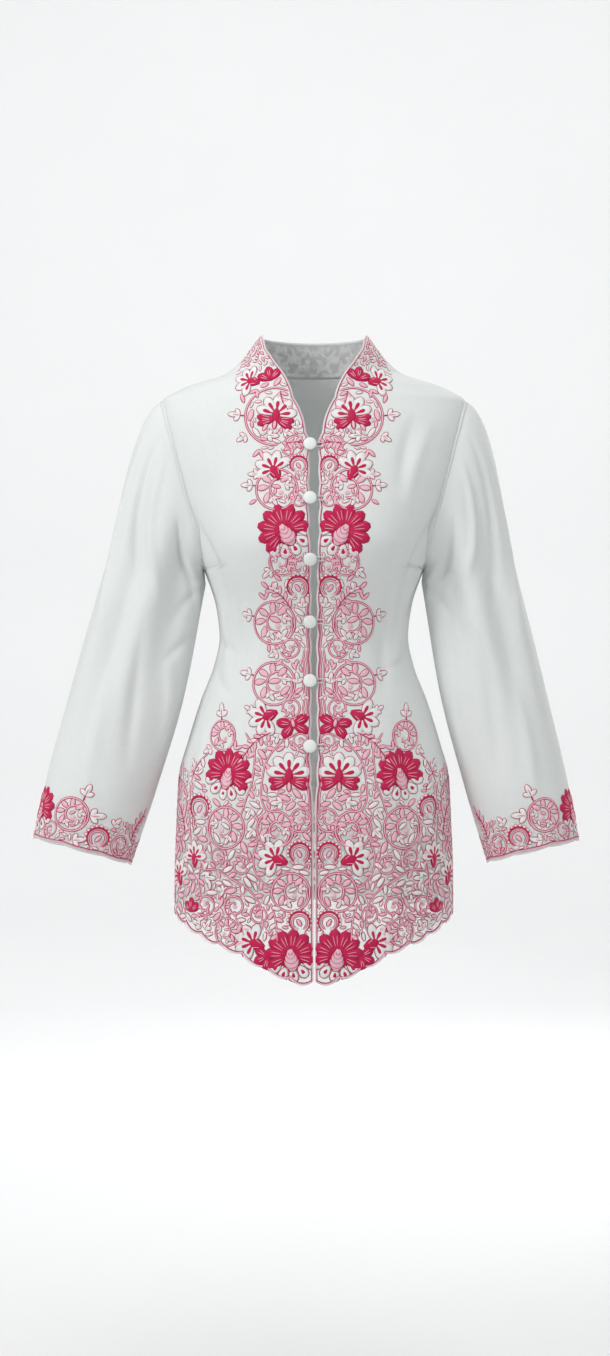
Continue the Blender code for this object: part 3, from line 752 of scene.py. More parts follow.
def grid_read(grid, at_row, rows, at_column, columns):
    """A value between the four nearest ones of an evenly spaced grid."""
    at_row, at_column = np.broadcast_arrays(at_row, at_column)
    r = np.clip((at_row - rows[0]) / (rows[1] - rows[0]), 0, len(rows) - 1.001)
    c = np.clip((at_column - columns[0]) / (columns[1] - columns[0]), 0, len(columns) - 1.001)
    i = r.astype(int)
    j = c.astype(int)
    r = r - i
    c = c - j
    if grid.ndim == 3:
        r = r[..., None]
        c = c[..., None]
    low = grid[i, j] * (1 - c) + grid[i, j + 1] * c
    high = grid[i + 1, j] * (1 - c) + grid[i + 1, j + 1] * c
    return low * (1 - r) + high * r


MEASURE = BodyMeasure()


def facing(surface, z, angle):
    """Unit normals of a surface of height and angle, from small steps round and up it."""
    around = surface(z, angle + SMALL_TURN) - surface(z, angle - SMALL_TURN)
    up = surface(z + SMALL_RISE, angle) - surface(z - SMALL_RISE, angle)
    return unit(np.cross(around, up))


def edge_arc(z):
    """Distance along the cloth from the middle to the front edge."""
    return MEASURE.arc_at(z, angle_at_x(z, edge_away(z)))


def front_seam_arc(z):
    """Distance along the cloth from the middle of the front to its seam or armhole."""
    return MEASURE.arc_at(z, outer_angle(z, "front"))


def half_back_width(z):
    """Distance along the cloth from the middle of the back to its seam or armhole."""
    return MEASURE.arc_at(z, math.pi + 0 * z) - MEASURE.arc_at(z, math.pi - outer_angle(z, "back"))


def skirt_x(along):
    """How far to the side a distance along the skirt comes."""
    return body_points(SKIRT_Z, MEASURE.angle_at(SKIRT_Z, along))[..., 0]


def creased_body(z, angle, side):
    """The body's inner face with its creases, on the wearer's left (1) or right (-1)."""
    base = body_points(z, angle)
    normal = facing(body_points, z, angle)
    along = MEASURE.arc_at(z, angle)
    rise = CREASE_DEPTH * crease_rise(along, z, BODY_CREASES, side)
    return (base + normal * rise[..., None]) * (side, 1, 1)


def grid_normals(points, closed=False):
    """Outward unit normals of a grid of points that goes round (+columns) and up (+rows)."""
    if closed:
        around = np.roll(points, -1, axis=1) - np.roll(points, 1, axis=1)
    else:
        around = np.gradient(points, axis=1)
    normal = unit(np.cross(around, np.gradient(points, axis=0)))
    middle = points.mean(axis=1, keepdims=True)
    if np.sum(normal * (points - middle)) < 0:
        normal = -normal
    return normal


class Chart:
    """A flat map of some cloth: points and normals by distance along it and height up it."""

    def __init__(self, along, up, points, hold):
        self.along = along
        self.up = up
        self.points = points
        self.normals = grid_normals(points)
        self.hold = hold

    def place(self, flat, lift):
        """Points of the flat map laid on the cloth, raised by a lift along its normals."""
        flat = self.hold(flat)
        along = flat[..., 0]
        up = flat[..., 1]
        points = grid_read(self.points, up, self.up, along, self.along)
        normals = grid_read(self.normals, up, self.up, along, self.along)
        return points + unit(normals) * np.asarray(lift)[..., None]


def soft_least(value, floor, ease=0.0012):
    """The larger of two values with a rounded corner, so that nothing is folded onto itself."""
    return 0.5 * (value + floor + np.sqrt((value - floor) ** 2 + ease**2))


def soft_most(value, ceiling):
    """The smaller of two values, rounded in the same way."""
    return -soft_least(-value, -ceiling)


def heading(degrees):
    turn = math.radians(degrees)
    return np.array([math.cos(turn), math.sin(turn)])


def stroke(thread, path, half, height):
    """One raised run of stitches: thread, flat path, half widths along it and its height."""
    return (thread, np.asarray(path, float), np.broadcast_to(half, len(path)), height)


def petal(thread, base, turn, length, width, height=FILL_HEIGHT, blunt=0.55, bend=0.0, lead=1.0):
    """A petal from its base: a straight or bent line whose width is a power of a half sine.

    A lead over 1 moves its widest place towards the tip.
    """
    t = np.linspace(0, 1, PETAL_STEPS)
    ahead = heading(turn)
    path = np.asarray(base) + np.outer(length * t, ahead)
    path = path + np.outer(bend * np.sin(math.pi * t), (-ahead[1], ahead[0]))
    half = width / 2 * np.sin(math.pi * (0.05 + 0.90 * t**lead)) ** blunt
    return stroke(thread, path, half, height)


def rimmed(thread, base, turn, length, width, blunt=0.55, bend=0.0, rim=RIM, top=FILL_HEIGHT, lead=1.0):
    """A petal with a rose outline: a wider, lower petal lies under it. Under crimson petals this outline is
    painted shade, the dark line between neighbouring petals.
    """
    under = np.asarray(base, float) - heading(turn) * rim
    low = top - FILL_HEIGHT + RIM_HEIGHT
    return [
        petal("rose", under, turn, length + 2 * rim, width + 2 * rim, low, blunt, bend, lead),
        petal(thread, base, turn, length, width, top, blunt, bend, lead),
    ]


def arc_path(centre, radius, first, last, steps=CORD_STEPS):
    turn = np.radians(np.linspace(first, last, steps))
    return np.asarray(centre) + radius * np.stack([np.cos(turn), np.sin(turn)], axis=1)


def cord(path, width=CORD_WIDTH, core="pink"):
    """A double line: a rose cord with a paler cord on it."""
    ends = np.minimum(1, 6 * np.sin(math.pi * np.linspace(0.02, 0.98, len(path))))
    return [
        stroke("rose", path, width / 2 * ends, RIM_HEIGHT + 0.0001),
        stroke(core, path, width / 2 * CORD_CORE * ends, FILL_HEIGHT),
    ]


def dot(thread, centre, radius, height=FILL_HEIGHT):
    centre = np.asarray(centre, float)
    return petal(thread, centre - (radius, 0), 0, 2 * radius, 2 * radius, height, 0.5)


def turned(strokes, turn=0.0, shift=(0.0, 0.0), flip=False):
    """A motif's strokes mirrored, turned and moved to their place."""
    c, s = heading(turn)
    spin = np.array([[c, s], [-s, c]])
    made = []
    for thread, path, half, height in strokes:
        if flip:
            path = path * (-1, 1)
        made.append((thread, path @ spin + shift, half, height))
    return made


def scroll(size):
    """A ring that goes once round and then curls inwards, with petals and leaves inside."""
    t = np.linspace(0, 1, SCROLL_STEPS)
    inwards = np.clip((t - 0.52) / 0.48, 0, 1)
    radius = size * (1 - 0.80 * inwards**0.8)
    turn = np.radians(250 - 730 * t)
    centre = np.outer(inwards, (-0.20 * size, -0.16 * size))
    path = centre + radius[:, None] * np.stack([np.cos(turn), np.sin(turn)], axis=1)
    made = cord(path, min(CORD_WIDTH, 0.17 * size))
    made.append(dot("pink", centre[-1], 0.13 * size))
    for degrees, lean in ((16, -26), (52, -18), (86, 2), (120, 18), (336, -50)):
        base = 0.44 * size * heading(degrees)
        made += rimmed("pink", base, degrees + lean, 0.50 * size, 0.32 * size, rim=LEAF_RIM, lead=1.2)
    for degrees, lean in ((154, 28), (300, -62)):
        base = 0.46 * size * heading(degrees)
        made += turned(split_leaf(0.46 * size), degrees + lean, base)
    return made


def small_scroll(size):
    """A small curl that ends in a ball, with three pink petals inside."""
    t = np.linspace(0, 1, CORD_STEPS)
    radius = size * (1 - 0.76 * t**1.4)
    turn = np.radians(250 - 560 * t)
    path = radius[:, None] * np.stack([np.cos(turn), np.sin(turn)], axis=1)
    made = cord(path, min(0.0032, 0.24 * size))
    made.append(dot("pink", (0.05 * size, 0), 0.20 * size))
    for degrees in (176, 222, 268):
        made += rimmed("pink", 0.44 * size * heading(degrees), degrees + 24, 0.42 * size, 0.26 * size)
    return made


def white_petals(size, angles, start, length, width, heart=(0.0, 0.34, 0.40)):
    """White petals with a rose outline and a crimson heart in each.

    The heart gives its own start, length and width as shares of the petal's length and width.
    """
    made = []
    begins, long, wide = heart
    for degrees in angles:
        base = start * size * heading(degrees)
        made += rimmed("white", base, degrees, length * size, width * size, 0.5, rim=LEAF_RIM, lead=1.4)
        base = base + begins * length * size * heading(degrees)
        span = (long * length * size, wide * width * size)
        made.append(petal("crimson", base, degrees, *span, TOP_HEIGHT, 0.6, lead=1.8))
    return made


def crimson_petals(size, angles, start, length, width):
    """Rounded crimson petals, by turns over and under, each with pale strokes that spread."""
    made = []
    for number, degrees in enumerate(angles):
        top = TOP_HEIGHT + OVERLAP * (number % 2)
        base = start * size * heading(degrees)
        span = (length * size, width * size)
        # The rose rim under each crimson petal is painted shade: it stands for the shadow line between
        # neighbouring petals.
        made += rimmed("crimson", base, degrees, *span, 0.5, rim=LEAF_RIM, top=top, lead=1.5)
        for lean in (-8, 8):
            vein = base + 0.26 * length * size * heading(degrees + 1.2 * lean)
            made.append(petal("pink", vein, degrees + 0.8 * lean, 0.52 * length * size, VEIN, top + OVERLAP))
    return made


def shell_bud(size, tip, turn):
    """A pale bud: lines that nest like a shell's, all touching at its tip."""
    top = TOP_HEIGHT + 2 * OVERLAP
    made = rimmed("pink", tip, turn, 0.86 * size, 0.70 * size, 0.60, rim=LEAF_RIM, top=top, lead=1.35)
    for radius in (0.08, 0.16, 0.25, 0.34):
        middle = tip + (0.06 + radius) * size * heading(turn)
        path = arc_path(middle, radius * size, turn - 100, turn + 100, PETAL_STEPS + 4)
        made.append(stroke("rose", path, SHELL_LINE, top + OVERLAP / 2))
    return made


def big_flower(size):
    """Rounded crimson petals fan upwards from a shell bud, with white petals below it."""
    made = [dot("crimson", (0, 0.08 * size), 0.50 * size, FILL_HEIGHT * 0.8)]
    made += crimson_petals(size, np.linspace(-20, 200, 8), 0.14, 0.85, 0.47)
    made += white_petals(size, np.linspace(212, 328, 5), 0.52, 0.52, 0.42, (0.24, 0.46, 0.50))
    return made + shell_bud(size, np.array([0.0, 0.24]) * size, 270)


def fan_flower(size):
    """White petals with crimson flames fan upwards over two level pairs of crimson petals."""
    made = white_petals(size, (12, 51, 90, 129, 168), 0.18, 0.82, 0.56, (0.0, 0.66, 0.48))
    for flip in (False, True):
        pair = crimson_petals(size, (0, -24), 0.04, 0.86, 0.38)
        made += turned(pair, 0.0, (0, -0.22 * size), flip)
    top = TOP_HEIGHT + 2 * OVERLAP
    made.append(petal("crimson", (0, -0.34 * size), 90, 0.66 * size, 0.42 * size, top))
    made += rimmed("pink", (0, -0.32 * size), 270, 0.40 * size, 0.22 * size, top=top)
    return made


def side_flower(size):
    """A crimson bell at whose mouth white petals with crimson flames fan one way."""
    made = white_petals(size, np.linspace(-84, 84, 5), 0.08, 0.92, 0.58, (0.0, 0.66, 0.46))
    base = (-0.66 * size, 0)
    made.append(petal("crimson", base, 0, 0.86 * size, 0.66 * size, TOP_HEIGHT + OVERLAP, 0.6, lead=1.3))
    for lean in (-20, 20):
        vein = (-0.42 * size, 0.10 * size * lean / 20)
        made.append(petal("pink", vein, lean, 0.44 * size, VEIN, TOP_HEIGHT + 2 * OVERLAP))
    return made


def c_curl(size):
    """A hook: a toothed crimson band over a pale cord that curls inwards, a leaf and a tail."""
    t = np.linspace(0, 1, CORD_STEPS)
    turn = np.radians(238 - 292 * t)
    ray = np.stack([np.cos(turn), np.sin(turn)], axis=1)
    radius = size * (0.84 - 0.14 * t)[:, None]
    made = []
    for i in range(2, CORD_STEPS - 4, 2):
        degrees = math.degrees(turn[i])
        made += rimmed("white", ray[i] * radius[i], degrees, 0.22 * size, 0.24 * size, 0.5, rim=TOOTH_RIM)
    span = np.sin(math.pi * np.linspace(0.05, 0.95, CORD_STEPS)) ** 0.6
    made.append(stroke("crimson", ray * radius, 0.11 * size * span, TOP_HEIGHT))
    turn = np.radians(242 - 306 * t)
    ray = np.stack([np.cos(turn), np.sin(turn)], axis=1)
    curl = t[:, None] * (0, -0.10 * size) + size * (0.61 - 0.14 * t)[:, None] * ray
    made += cord(curl, min(CORD_WIDTH, 0.20 * size))
    made.append(dot("pink", curl[-1], 0.15 * size))
    made += rimmed("pink", (-0.16 * size, -0.30 * size), 58, 0.54 * size, 0.32 * size, rim=LEAF_RIM)
    bends = np.array([(-0.40, -0.72), (-0.52, -0.92), (-0.50, -1.18)])
    tail = smooth_path(MILLIMETRES * size * bends, PETAL_STEPS)
    return made + cord(tail, 0.15 * size)


def split_leaf(size):
    """A white leaf with three rounded lobes and a vein."""
    made = []
    for degrees, length, width in ((52, 0.62, 0.42), (-52, 0.62, 0.42), (0, 1.0, 0.48)):
        made += rimmed("white", (0, 0), degrees, length * size, width * size, 0.6, rim=LEAF_RIM, lead=1.4)
    made.append(petal("rose", (0.04 * size, 0), 0, 0.56 * size, 0.07 * size, TOP_HEIGHT, 0.5))
    return made


def tip_leaf(size):
    """A white leaf with three lobes on a short stem, outside a ring."""
    made = [petal("rose", (-0.55 * size, 0), 0, 0.6 * size, 0.16 * size, FILL_HEIGHT)]
    return made + split_leaf(1.15 * size)


def pink_leaf(size):
    return rimmed("pink", (0, 0), 0, size, 0.46 * size, 0.62)


def pink_pair(size):
    return rimmed("pink", (0, 0), 34, size, 0.44 * size) + rimmed("pink", (0, 0), -34, size, 0.44 * size)


def sprig(size):
    """A bent stem with pairs of pink leaves and one at its tip."""
    t = np.linspace(0, 1, PETAL_STEPS)
    path = np.stack([size * t, 0.10 * size * np.sin(math.pi * t)], axis=1)
    made = [stroke("rose", path, 0.0007, TOP_HEIGHT)]
    pairs = max(2, round(size / SPRIG_PITCH))
    for share in np.arange(pairs) / pairs + 0.06:
        stem = (size * share, 0.10 * size * math.sin(math.pi * share))
        for lean in (50, -46):
            made += rimmed("pink", stem, lean, SPRIG_LEAF, 0.50 * SPRIG_LEAF, 0.6, rim=LEAF_RIM, lead=1.2)
    made += rimmed("pink", path[-1], 0, SPRIG_LEAF, 0.52 * SPRIG_LEAF, 0.6, rim=LEAF_RIM)
    return made


def trefoil(size):
    """Three rounded crimson petals with pale strokes."""
    return crimson_petals(size, (-56, 0, 56), 0.0, 1.0, 0.66)


def bow(size):
    """Two pairs of crimson petals, like a bow, with a pale knot."""
    made = crimson_petals(size, (18, -40), 0.0, 1.0, 0.62)
    made += crimson_petals(size, (162, 220), 0.0, 1.0, 0.62)
    made += rimmed("pink", (0, -0.16 * size), 90, 0.46 * size, 0.28 * size, top=TOP_HEIGHT + 2 * OVERLAP)
    return made


def big_ring(size):
    """Part of a large ring, open towards the front edge."""
    return cord(arc_path((0, 0), size, 118, -98, SCROLL_STEPS))


MOTIFS = {
    "scroll": scroll,
    "small_scroll": small_scroll,
    "big_flower": big_flower,
    "fan_flower": fan_flower,
    "side_flower": side_flower,
    "c_curl": c_curl,
    "split_leaf": split_leaf,
    "tip_leaf": tip_leaf,
    "pink_leaf": pink_leaf,
    "pink_pair": pink_pair,
    "sprig": sprig,
    "trefoil": trefoil,
    "bow": bow,
    "big_ring": big_ring,
}

def strokes_of(border):
    """The strokes of a table of motifs, in metres."""
    made = []
    for kind, along, height, size, turn, flip in border:
        place = (along / MILLIMETRES, height / MILLIMETRES)
        made += turned(MOTIFS[kind](size / MILLIMETRES), turn, place, bool(flip))
    return made


def smooth_path(places, steps):
    """A smooth curve through places: each coordinate is a gentle function of the way along."""
    places = np.array(places, float) / MILLIMETRES
    way = np.concatenate([[0], np.cumsum(np.linalg.norm(np.diff(places, axis=0), axis=1))])
    at = np.linspace(0, way[-1], steps)
    table = np.column_stack([way, places])
    columns = ("way", "along", "height")
    return np.stack([read(table, columns, name, at) for name in columns[1:]], axis=1)


def vine(places):
    """A vine with pink and white leaves by turns."""
    path = smooth_path(places, SCROLL_STEPS)
    made = cord(path, VINE_WIDTH)
    run = np.gradient(path, axis=0)
    for number, i in enumerate(range(5, SCROLL_STEPS - 3, 7)):
        along = math.degrees(math.atan2(run[i, 1], run[i, 0]))
        lean = 55 if number % 2 else -55
        thread = "white" if number % 3 == 0 else "pink"
        made += rimmed(thread, path[i], along + lean, 0.0104, 0.0056, 0.62, rim=LEAF_RIM)
    return made


def fillers(strokes, inside, seed):
    """Leaves in the gaps between strokes, from the largest that fits down to the smallest.

    The room at a place is its distance to the nearest stroke's edge. A leaf lies along that
    edge, a little aslant, where both its ends are clear too. It then counts as three discs
    along its length, which take room from the places that are tried after it.
    """
    chance = np.random.default_rng(seed)
    along, up = np.meshgrid(np.arange(*FILL_ALONG, FILL_PITCH), np.arange(*FILL_UP, FILL_PITCH))
    places = np.stack([along.ravel(), up.ravel()], axis=1)
    places = places + chance.uniform(-FILL_JITTER, FILL_JITTER, places.shape)
    places = places[inside(places[:, 0], places[:, 1])]
    places = chance.permutation(places)
    edges = np.concatenate([path for thread, path, half, height in strokes])
    halves = np.concatenate([half for thread, path, half, height in strokes])
    room = np.zeros(len(places))
    facing = np.zeros(len(places))
    for i, place in enumerate(places):
        apart = edges - place
        gap = np.hypot(apart[:, 0], apart[:, 1]) - halves
        near = np.argmin(gap)
        room[i] = gap[near]
        facing[i] = math.degrees(math.atan2(apart[near, 1], apart[near, 0]))
    made = []
    for reach in FILL_REACHES:
        for i, place in enumerate(places):
            turn = facing[i] + 90 + chance.uniform(-FILL_LEAN, FILL_LEAN) + 180 * chance.integers(2)
            pick = chance.uniform()
            too_big = place[1] > COLLAR_FILL_Z and reach > COLLAR_REACH
            if too_big or room[i] < FILL_CLEAR * reach + FILL_ROOM:
                continue
            ahead = heading(turn)
            shares = (-FILL_SHARE, 0, FILL_SHARE)
            discs = np.array([place + share * reach * ahead for share in shares])
            apart = np.hypot(edges[:, 0, None] - discs[:, 0], edges[:, 1, None] - discs[:, 1])
            if (apart - halves[:, None]).min() < FILL_END_CLEAR * reach + FILL_ROOM:
                continue
            wide = room[i] > SPLIT_CLEAR * reach + FILL_ROOM and reach > FILL_REACHES[3]
            if pick < SPLIT_CHANCE and wide:
                leaf = split_leaf(2 * reach)
            else:
                thread = "white" if pick < WHITE_CHANCE else "pink"
                leaf = rimmed(thread, (0, 0), 0, 2 * reach, FILL_WIDTHS[thread] * reach, rim=LEAF_RIM)
            made += turned(leaf, turn, place - reach * ahead)
            edges = np.concatenate([edges, discs])
            halves = np.concatenate([halves, np.full(len(discs), FILL_TAKES * reach)])
            for disc in discs:
                room = np.minimum(room, np.hypot(*(places - disc).T) - FILL_TAKES * reach)
    return made


def stitch_mesh(strokes, chart):
    """Points, faces and stitch lengths of strokes laid on a chart.

    Across a stroke its section is a low arch closed by a flat underside that is sunk into the
    cloth. The arch is as high as the stroke, less where the stroke narrows.
    """
    points = []
    uvs = []
    quads = []
    caps = []
    start = 0
    ring = len(PROFILE_ACROSS)
    for steps in sorted({len(path) for thread, path, half, height in strokes}):
        group = [s for s in strokes if len(s[1]) == steps]
        path = np.array([s[1] for s in group])
        half = np.array([s[2] for s in group])
        height = np.array([s[3] for s in group])
        run = np.gradient(path, axis=1)
        ahead = unit(run)
        left = np.stack([-ahead[..., 1], ahead[..., 0]], axis=-1)
        across = half[..., None] * PROFILE_ACROSS
        flat = path[:, :, None] + left[:, :, None] * across[..., None]
        slim = np.sqrt(half / half.max(axis=1, keepdims=True))
        lift = CLOTH_OUTER - SINK + (height[:, None, None] + SINK) * slim[..., None] * PROFILE_LIFT
        points.append(chart.place(flat, lift).reshape(-1, 3))
        way = np.cumsum(np.linalg.norm(run, axis=-1), axis=1)
        uvs.append(np.stack([across, np.broadcast_to(way[..., None], across.shape)], axis=-1).reshape(-1, 2))
        index = start + np.arange(path.shape[0] * steps * ring).reshape(-1, steps, ring)
        quads.append(ring_quads(index))
        caps.append(index[:, 0, ::-1])
        caps.append(index[:, -1])
        start += index.size
    points = np.concatenate(points)
    quads = np.concatenate(quads)
    caps = np.concatenate(caps)
    if signed_volume(points, quads, caps) < 0:
        quads = quads[:, ::-1]
        caps = caps[:, ::-1]
    return points, [quads, caps], np.concatenate(uvs)


def ring_quads(index):
    """Quads from each ring of points to the next, for an index of rings."""
    beside = np.roll(index, -1, axis=-1)
    corners = (index[..., :-1, :], beside[..., :-1, :], beside[..., 1:, :], index[..., 1:, :])
    return np.stack(corners, axis=-1).reshape(-1, 4)


def signed_volume(points, *polygons):
    """Volume inside closed shells, below nought where their faces point inwards."""
    total = 0.0
    for faces in polygons:
        for k in range(1, faces.shape[1] - 1):
            a, b, c = points[faces[:, 0]], points[faces[:, k]], points[faces[:, k + 1]]
            total += np.sum(a * np.cross(b, c))
    return total / 6


def mesh_piece(name, points, polygons, material, uv=None):
    """An object in the frame's own place, with smooth faces and a UV map in metres."""
    mesh = bpy.data.meshes.new(name)
    mesh.vertices.add(len(points))
    mesh.vertices.foreach_set("co", np.ascontiguousarray(points, dtype=np.float32).ravel())
    corners = np.concatenate([faces.ravel() for faces in polygons]).astype(np.int32)
    counts = np.concatenate([np.full(len(faces), faces.shape[1]) for faces in polygons])
    starts = np.concatenate([[0], np.cumsum(counts)[:-1]]).astype(np.int32)
    mesh.loops.add(len(corners))
    mesh.loops.foreach_set("vertex_index", corners)
    mesh.polygons.add(len(counts))
    mesh.polygons.foreach_set("loop_start", starts)
    mesh.update(calc_edges=True)
    mesh.validate()
    mesh.shade_smooth()
    if uv is not None:
        layer = mesh.uv_layers.new(name="cloth")
        order = np.empty(len(mesh.loops), dtype=np.int32)
        mesh.loops.foreach_get("vertex_index", order)
        layer.uv.foreach_set("vector", uv[order].astype(np.float32).ravel())
    mesh.materials.append(material)
    piece = bpy.data.objects.new(name, mesh)
    bpy.context.scene.collection.objects.link(piece)
    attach(piece, "root")
    return piece


def grid_quads(rows, columns, closed=False):
    """Quads of a grid of points, row after row."""
    index = np.arange(rows * columns).reshape(rows, columns)
    if closed:
        index = np.concatenate([index, index[:, :1]], axis=1)
    return np.stack([index[:-1, :-1], index[:-1, 1:], index[1:, 1:], index[1:, :-1]], axis=-1).reshape(-1, 4)


def cloth_piece(name, points, flat, material, closed=False, side=0):
    """A thin shell of cloth over a grid of points of the solid's inner face.

    A side says which way along X the shell faces, where its points alone can't say it.
    """
    rows, columns = points.shape[:2]
    normal = grid_normals(points, closed)
    if side and np.sum(normal[..., 0]) * side < 0:
        normal = -normal
    shell = points + normal * CLOTH_INNER
    quads = grid_quads(rows, columns, closed)
    a, b, c, d = (shell.reshape(-1, 3)[quads[:, k]] for k in range(4))
    if np.sum(np.cross(c - a, d - b) * normal.reshape(-1, 3)[quads[:, 0]]) < 0:
        quads = quads[:, ::-1]
    piece = mesh_piece(name, shell.reshape(-1, 3), [quads], material, flat.reshape(-1, 2))
    wall = piece.modifiers.new("wall", "SOLIDIFY")
    wall.thickness = CLOTH_WALL
    wall.offset = 1
    wall.use_even_offset = False
    wall.use_quality_normals = True
    return piece


def upper_heights(top):
    """Heights of the level rows, closer together over the slope of the shoulders."""
    slope_z = SHOULDER_TIP_Z - 0.010
    low = np.linspace(SKIRT_Z, slope_z, BODY_ROWS + 1)[:-1]
    middle = np.linspace(slope_z, COLLAR_FOOT_Z, SHOULDER_ROWS + 1)
    if top <= COLLAR_FOOT_Z:
        return np.concatenate([low, middle])
    return np.concatenate([low, middle, np.linspace(COLLAR_FOOT_Z, top, COLLAR_ROWS + 1)[1:]])


def hem_rows(arc, angle, hem, lobe):
    """Rows from SKIRT_Z down to the hem: the angles stay, the heights part evenly."""
    share = np.linspace(1, 0, HEM_ROWS + 1)[:-1, None]
    low = hem + lobe * share**HEM_FADE
    z = SKIRT_Z + (low - SKIRT_Z) * share
    return z, np.broadcast_to(angle, z.shape), np.broadcast_to(arc, z.shape)


def front_grid(side):
    """Points and flat places of one front, hem to collar and edge to side seam."""
    share = np.linspace(0, 1, FRONT_ACROSS + 1)[None, :]
    z = upper_heights(COLLAR_TOP_Z)[:, None]
    first = edge_arc(z)
    last = front_seam_arc(z)
    arc = first + (last - first) * share
    angle = MEASURE.angle_at(z, arc)
    angle[:, :1] = angle_at_x(z, edge_away(z))
    angle[:, -1:] = outer_angle(z, "front")
    z = np.broadcast_to(z, arc.shape)
    level = body_points(SKIRT_Z, angle[0])
    lobe = HEM_LOBE_DEPTH * (1 - lobes(arc[0] - arc[0, 0], HEM_LOBE))
    low_z, low_angle, low_arc = hem_rows(arc[0], angle[0], hem_height(level[:, 0]), lobe)
    z = np.concatenate([low_z, z])
    angle = np.concatenate([low_angle, angle])
    arc = np.concatenate([low_arc, arc])
    return creased_body(z, angle, side), np.stack([arc, z], axis=-1)


def half_back_grid(side, low_z, top_z):
    """Points and flat places of half a back or collar band, side seam to middle."""
    share = np.linspace(0, 1, BACK_ACROSS + 1)[None, :]
    collar = low_z > SKIRT_Z
    z = np.linspace(low_z, top_z, COLLAR_ROWS + 1) if collar else upper_heights(top_z)
    z = z[:, None]
    seam = math.pi - outer_angle(z, "back")
    first = MEASURE.arc_at(z, seam)
    last = MEASURE.arc_at(z, math.pi + 0 * z)
    arc = first + (last - first) * share
    angle = MEASURE.angle_at(z, arc)
    angle[:, :1] = seam
    angle[:, -1] = math.pi
    z = np.broadcast_to(z, arc.shape)
    if not collar:
        level = body_points(SKIRT_Z, angle[0])
        hem = BACK_HEM_Z - BACK_HEM_DIP * (1 - (level[:, 0] / body("half_width", SKIRT_Z)) ** 2)
        lobe = HEM_LOBE_DEPTH * (1 - lobes(arc[0] - arc[0, 0] - BACK_LOBE_START, HEM_LOBE))
        low_z, low_angle, low_arc = hem_rows(arc[0], angle[0], hem, lobe)
        z = np.concatenate([low_z, z])
        angle = np.concatenate([low_angle, angle])
        arc = np.concatenate([low_arc, arc])
    return creased_body(z, angle, side), np.stack([arc, z], axis=-1)


def back_grid(low_z, top_z):
    """The two halves of the back joined at the middle, whose line they share."""
    left, left_flat = half_back_grid(1, low_z, top_z)
    right, right_flat = half_back_grid(-1, low_z, top_z)
    middle = (left[:, -1:] + right[:, -1:]) / 2
    points = np.concatenate([right[:, :-1], middle, left[:, :-1][:, ::-1]], axis=1)
    width = 2 * left_flat[:, -1:, :1]
    mirrored = left_flat[:, :-1][:, ::-1]
    mirrored = np.concatenate([width - mirrored[..., :1], mirrored[..., 1:]], axis=-1)
    return points, np.concatenate([right_flat, mirrored], axis=1)


def armhole_heights(rows):
    """Heights of the armhole rows, closer together at its top and foot."""
    k = np.arange(rows + 1) / rows
    eased = (1 - ARMHOLE_GATHER) * (1 - 2 * k) + ARMHOLE_GATHER * np.cos(math.pi * k)
    middle = (UNDERARM_Z + SHOULDER_TIP_Z) / 2
    return middle + (SHOULDER_TIP_Z - UNDERARM_Z) / 2 * eased


def armhole_loop(count):
    """The armhole's edge, from the shoulder tip down the front and up the back."""
    heights = armhole_heights(count // 2)
    front = body_points(heights, outer_angle(heights, "front"))
    rising = heights[::-1][1:-1]
    back = body_points(rising, math.pi - outer_angle(rising, "back"))
    loop = np.concatenate([front, back])
    out = unit(loop * (1, 1, 0))
    low = np.sin(np.arange(count) * math.pi / count) ** 4
    return loop + out * (SLEEVE_STEP + UNDERARM_STEP * low[:, None])


def sleeve_axis(share, hang):
    """Middle, half width, half depth and direction of the sleeve at shares of its length."""
    station = np.concatenate([[0], np.cumsum(np.linalg.norm(np.diff(SLEEVE[:, :3], axis=0), axis=1))])
    table = np.column_stack([station / station[-1], SLEEVE])
    columns = ("share",) + SLEEVE_COLUMNS
    x, y, z, half_width, half_depth = (read(table, columns, name, share) for name in SLEEVE_COLUMNS)
    ahead = np.stack([read(table, columns, name, share + AXIS_STEP) for name in "xyz"], axis=-1)
    behind = np.stack([read(table, columns, name, share - AXIS_STEP) for name in "xyz"], axis=-1)
    reach, width, out = hang
    inner = SLEEVE[0, 0]
    middle = np.stack([inner + (x - inner) * reach + out, y, z], axis=-1)
    return middle, half_width * width, half_depth, unit((ahead - behind) * (reach, 1, 1))


def sleeve_fold(angle, down):
    """How far the sleeve's folds stand out at an angle and a share of its length."""
    degrees = np.degrees(angle)
    rise = np.zeros(np.broadcast(angle, down).shape)
    for at, start, end, spread, height in SLEEVE_FOLDS:
        apart = (degrees - at + 180) % 360 - 180
        rise = rise + height * np.exp(-((apart / spread) ** 2)) * swell(down, start, end)
    return rise


def sleeve_rings(share, hang, angle):
    """Points of sleeve sections square to the arm, for a column of shares and a row of angles."""
    middle, half_width, half_depth, run = sleeve_axis(share, hang)
    across = unit(np.cross((0.0, 1.0, 0.0), -run))
    forward = np.cross(run, across)
    rise = sleeve_fold(angle, CAP_SHARE + (1 - CAP_SHARE) * share[:, None])
    out = ((half_width[:, None] + rise) * np.cos(angle))[..., None] * across[:, None]
    fore = ((half_depth[:, None] + rise) * np.sin(angle))[..., None] * forward[:, None]
    return middle[:, None] + out + fore, run


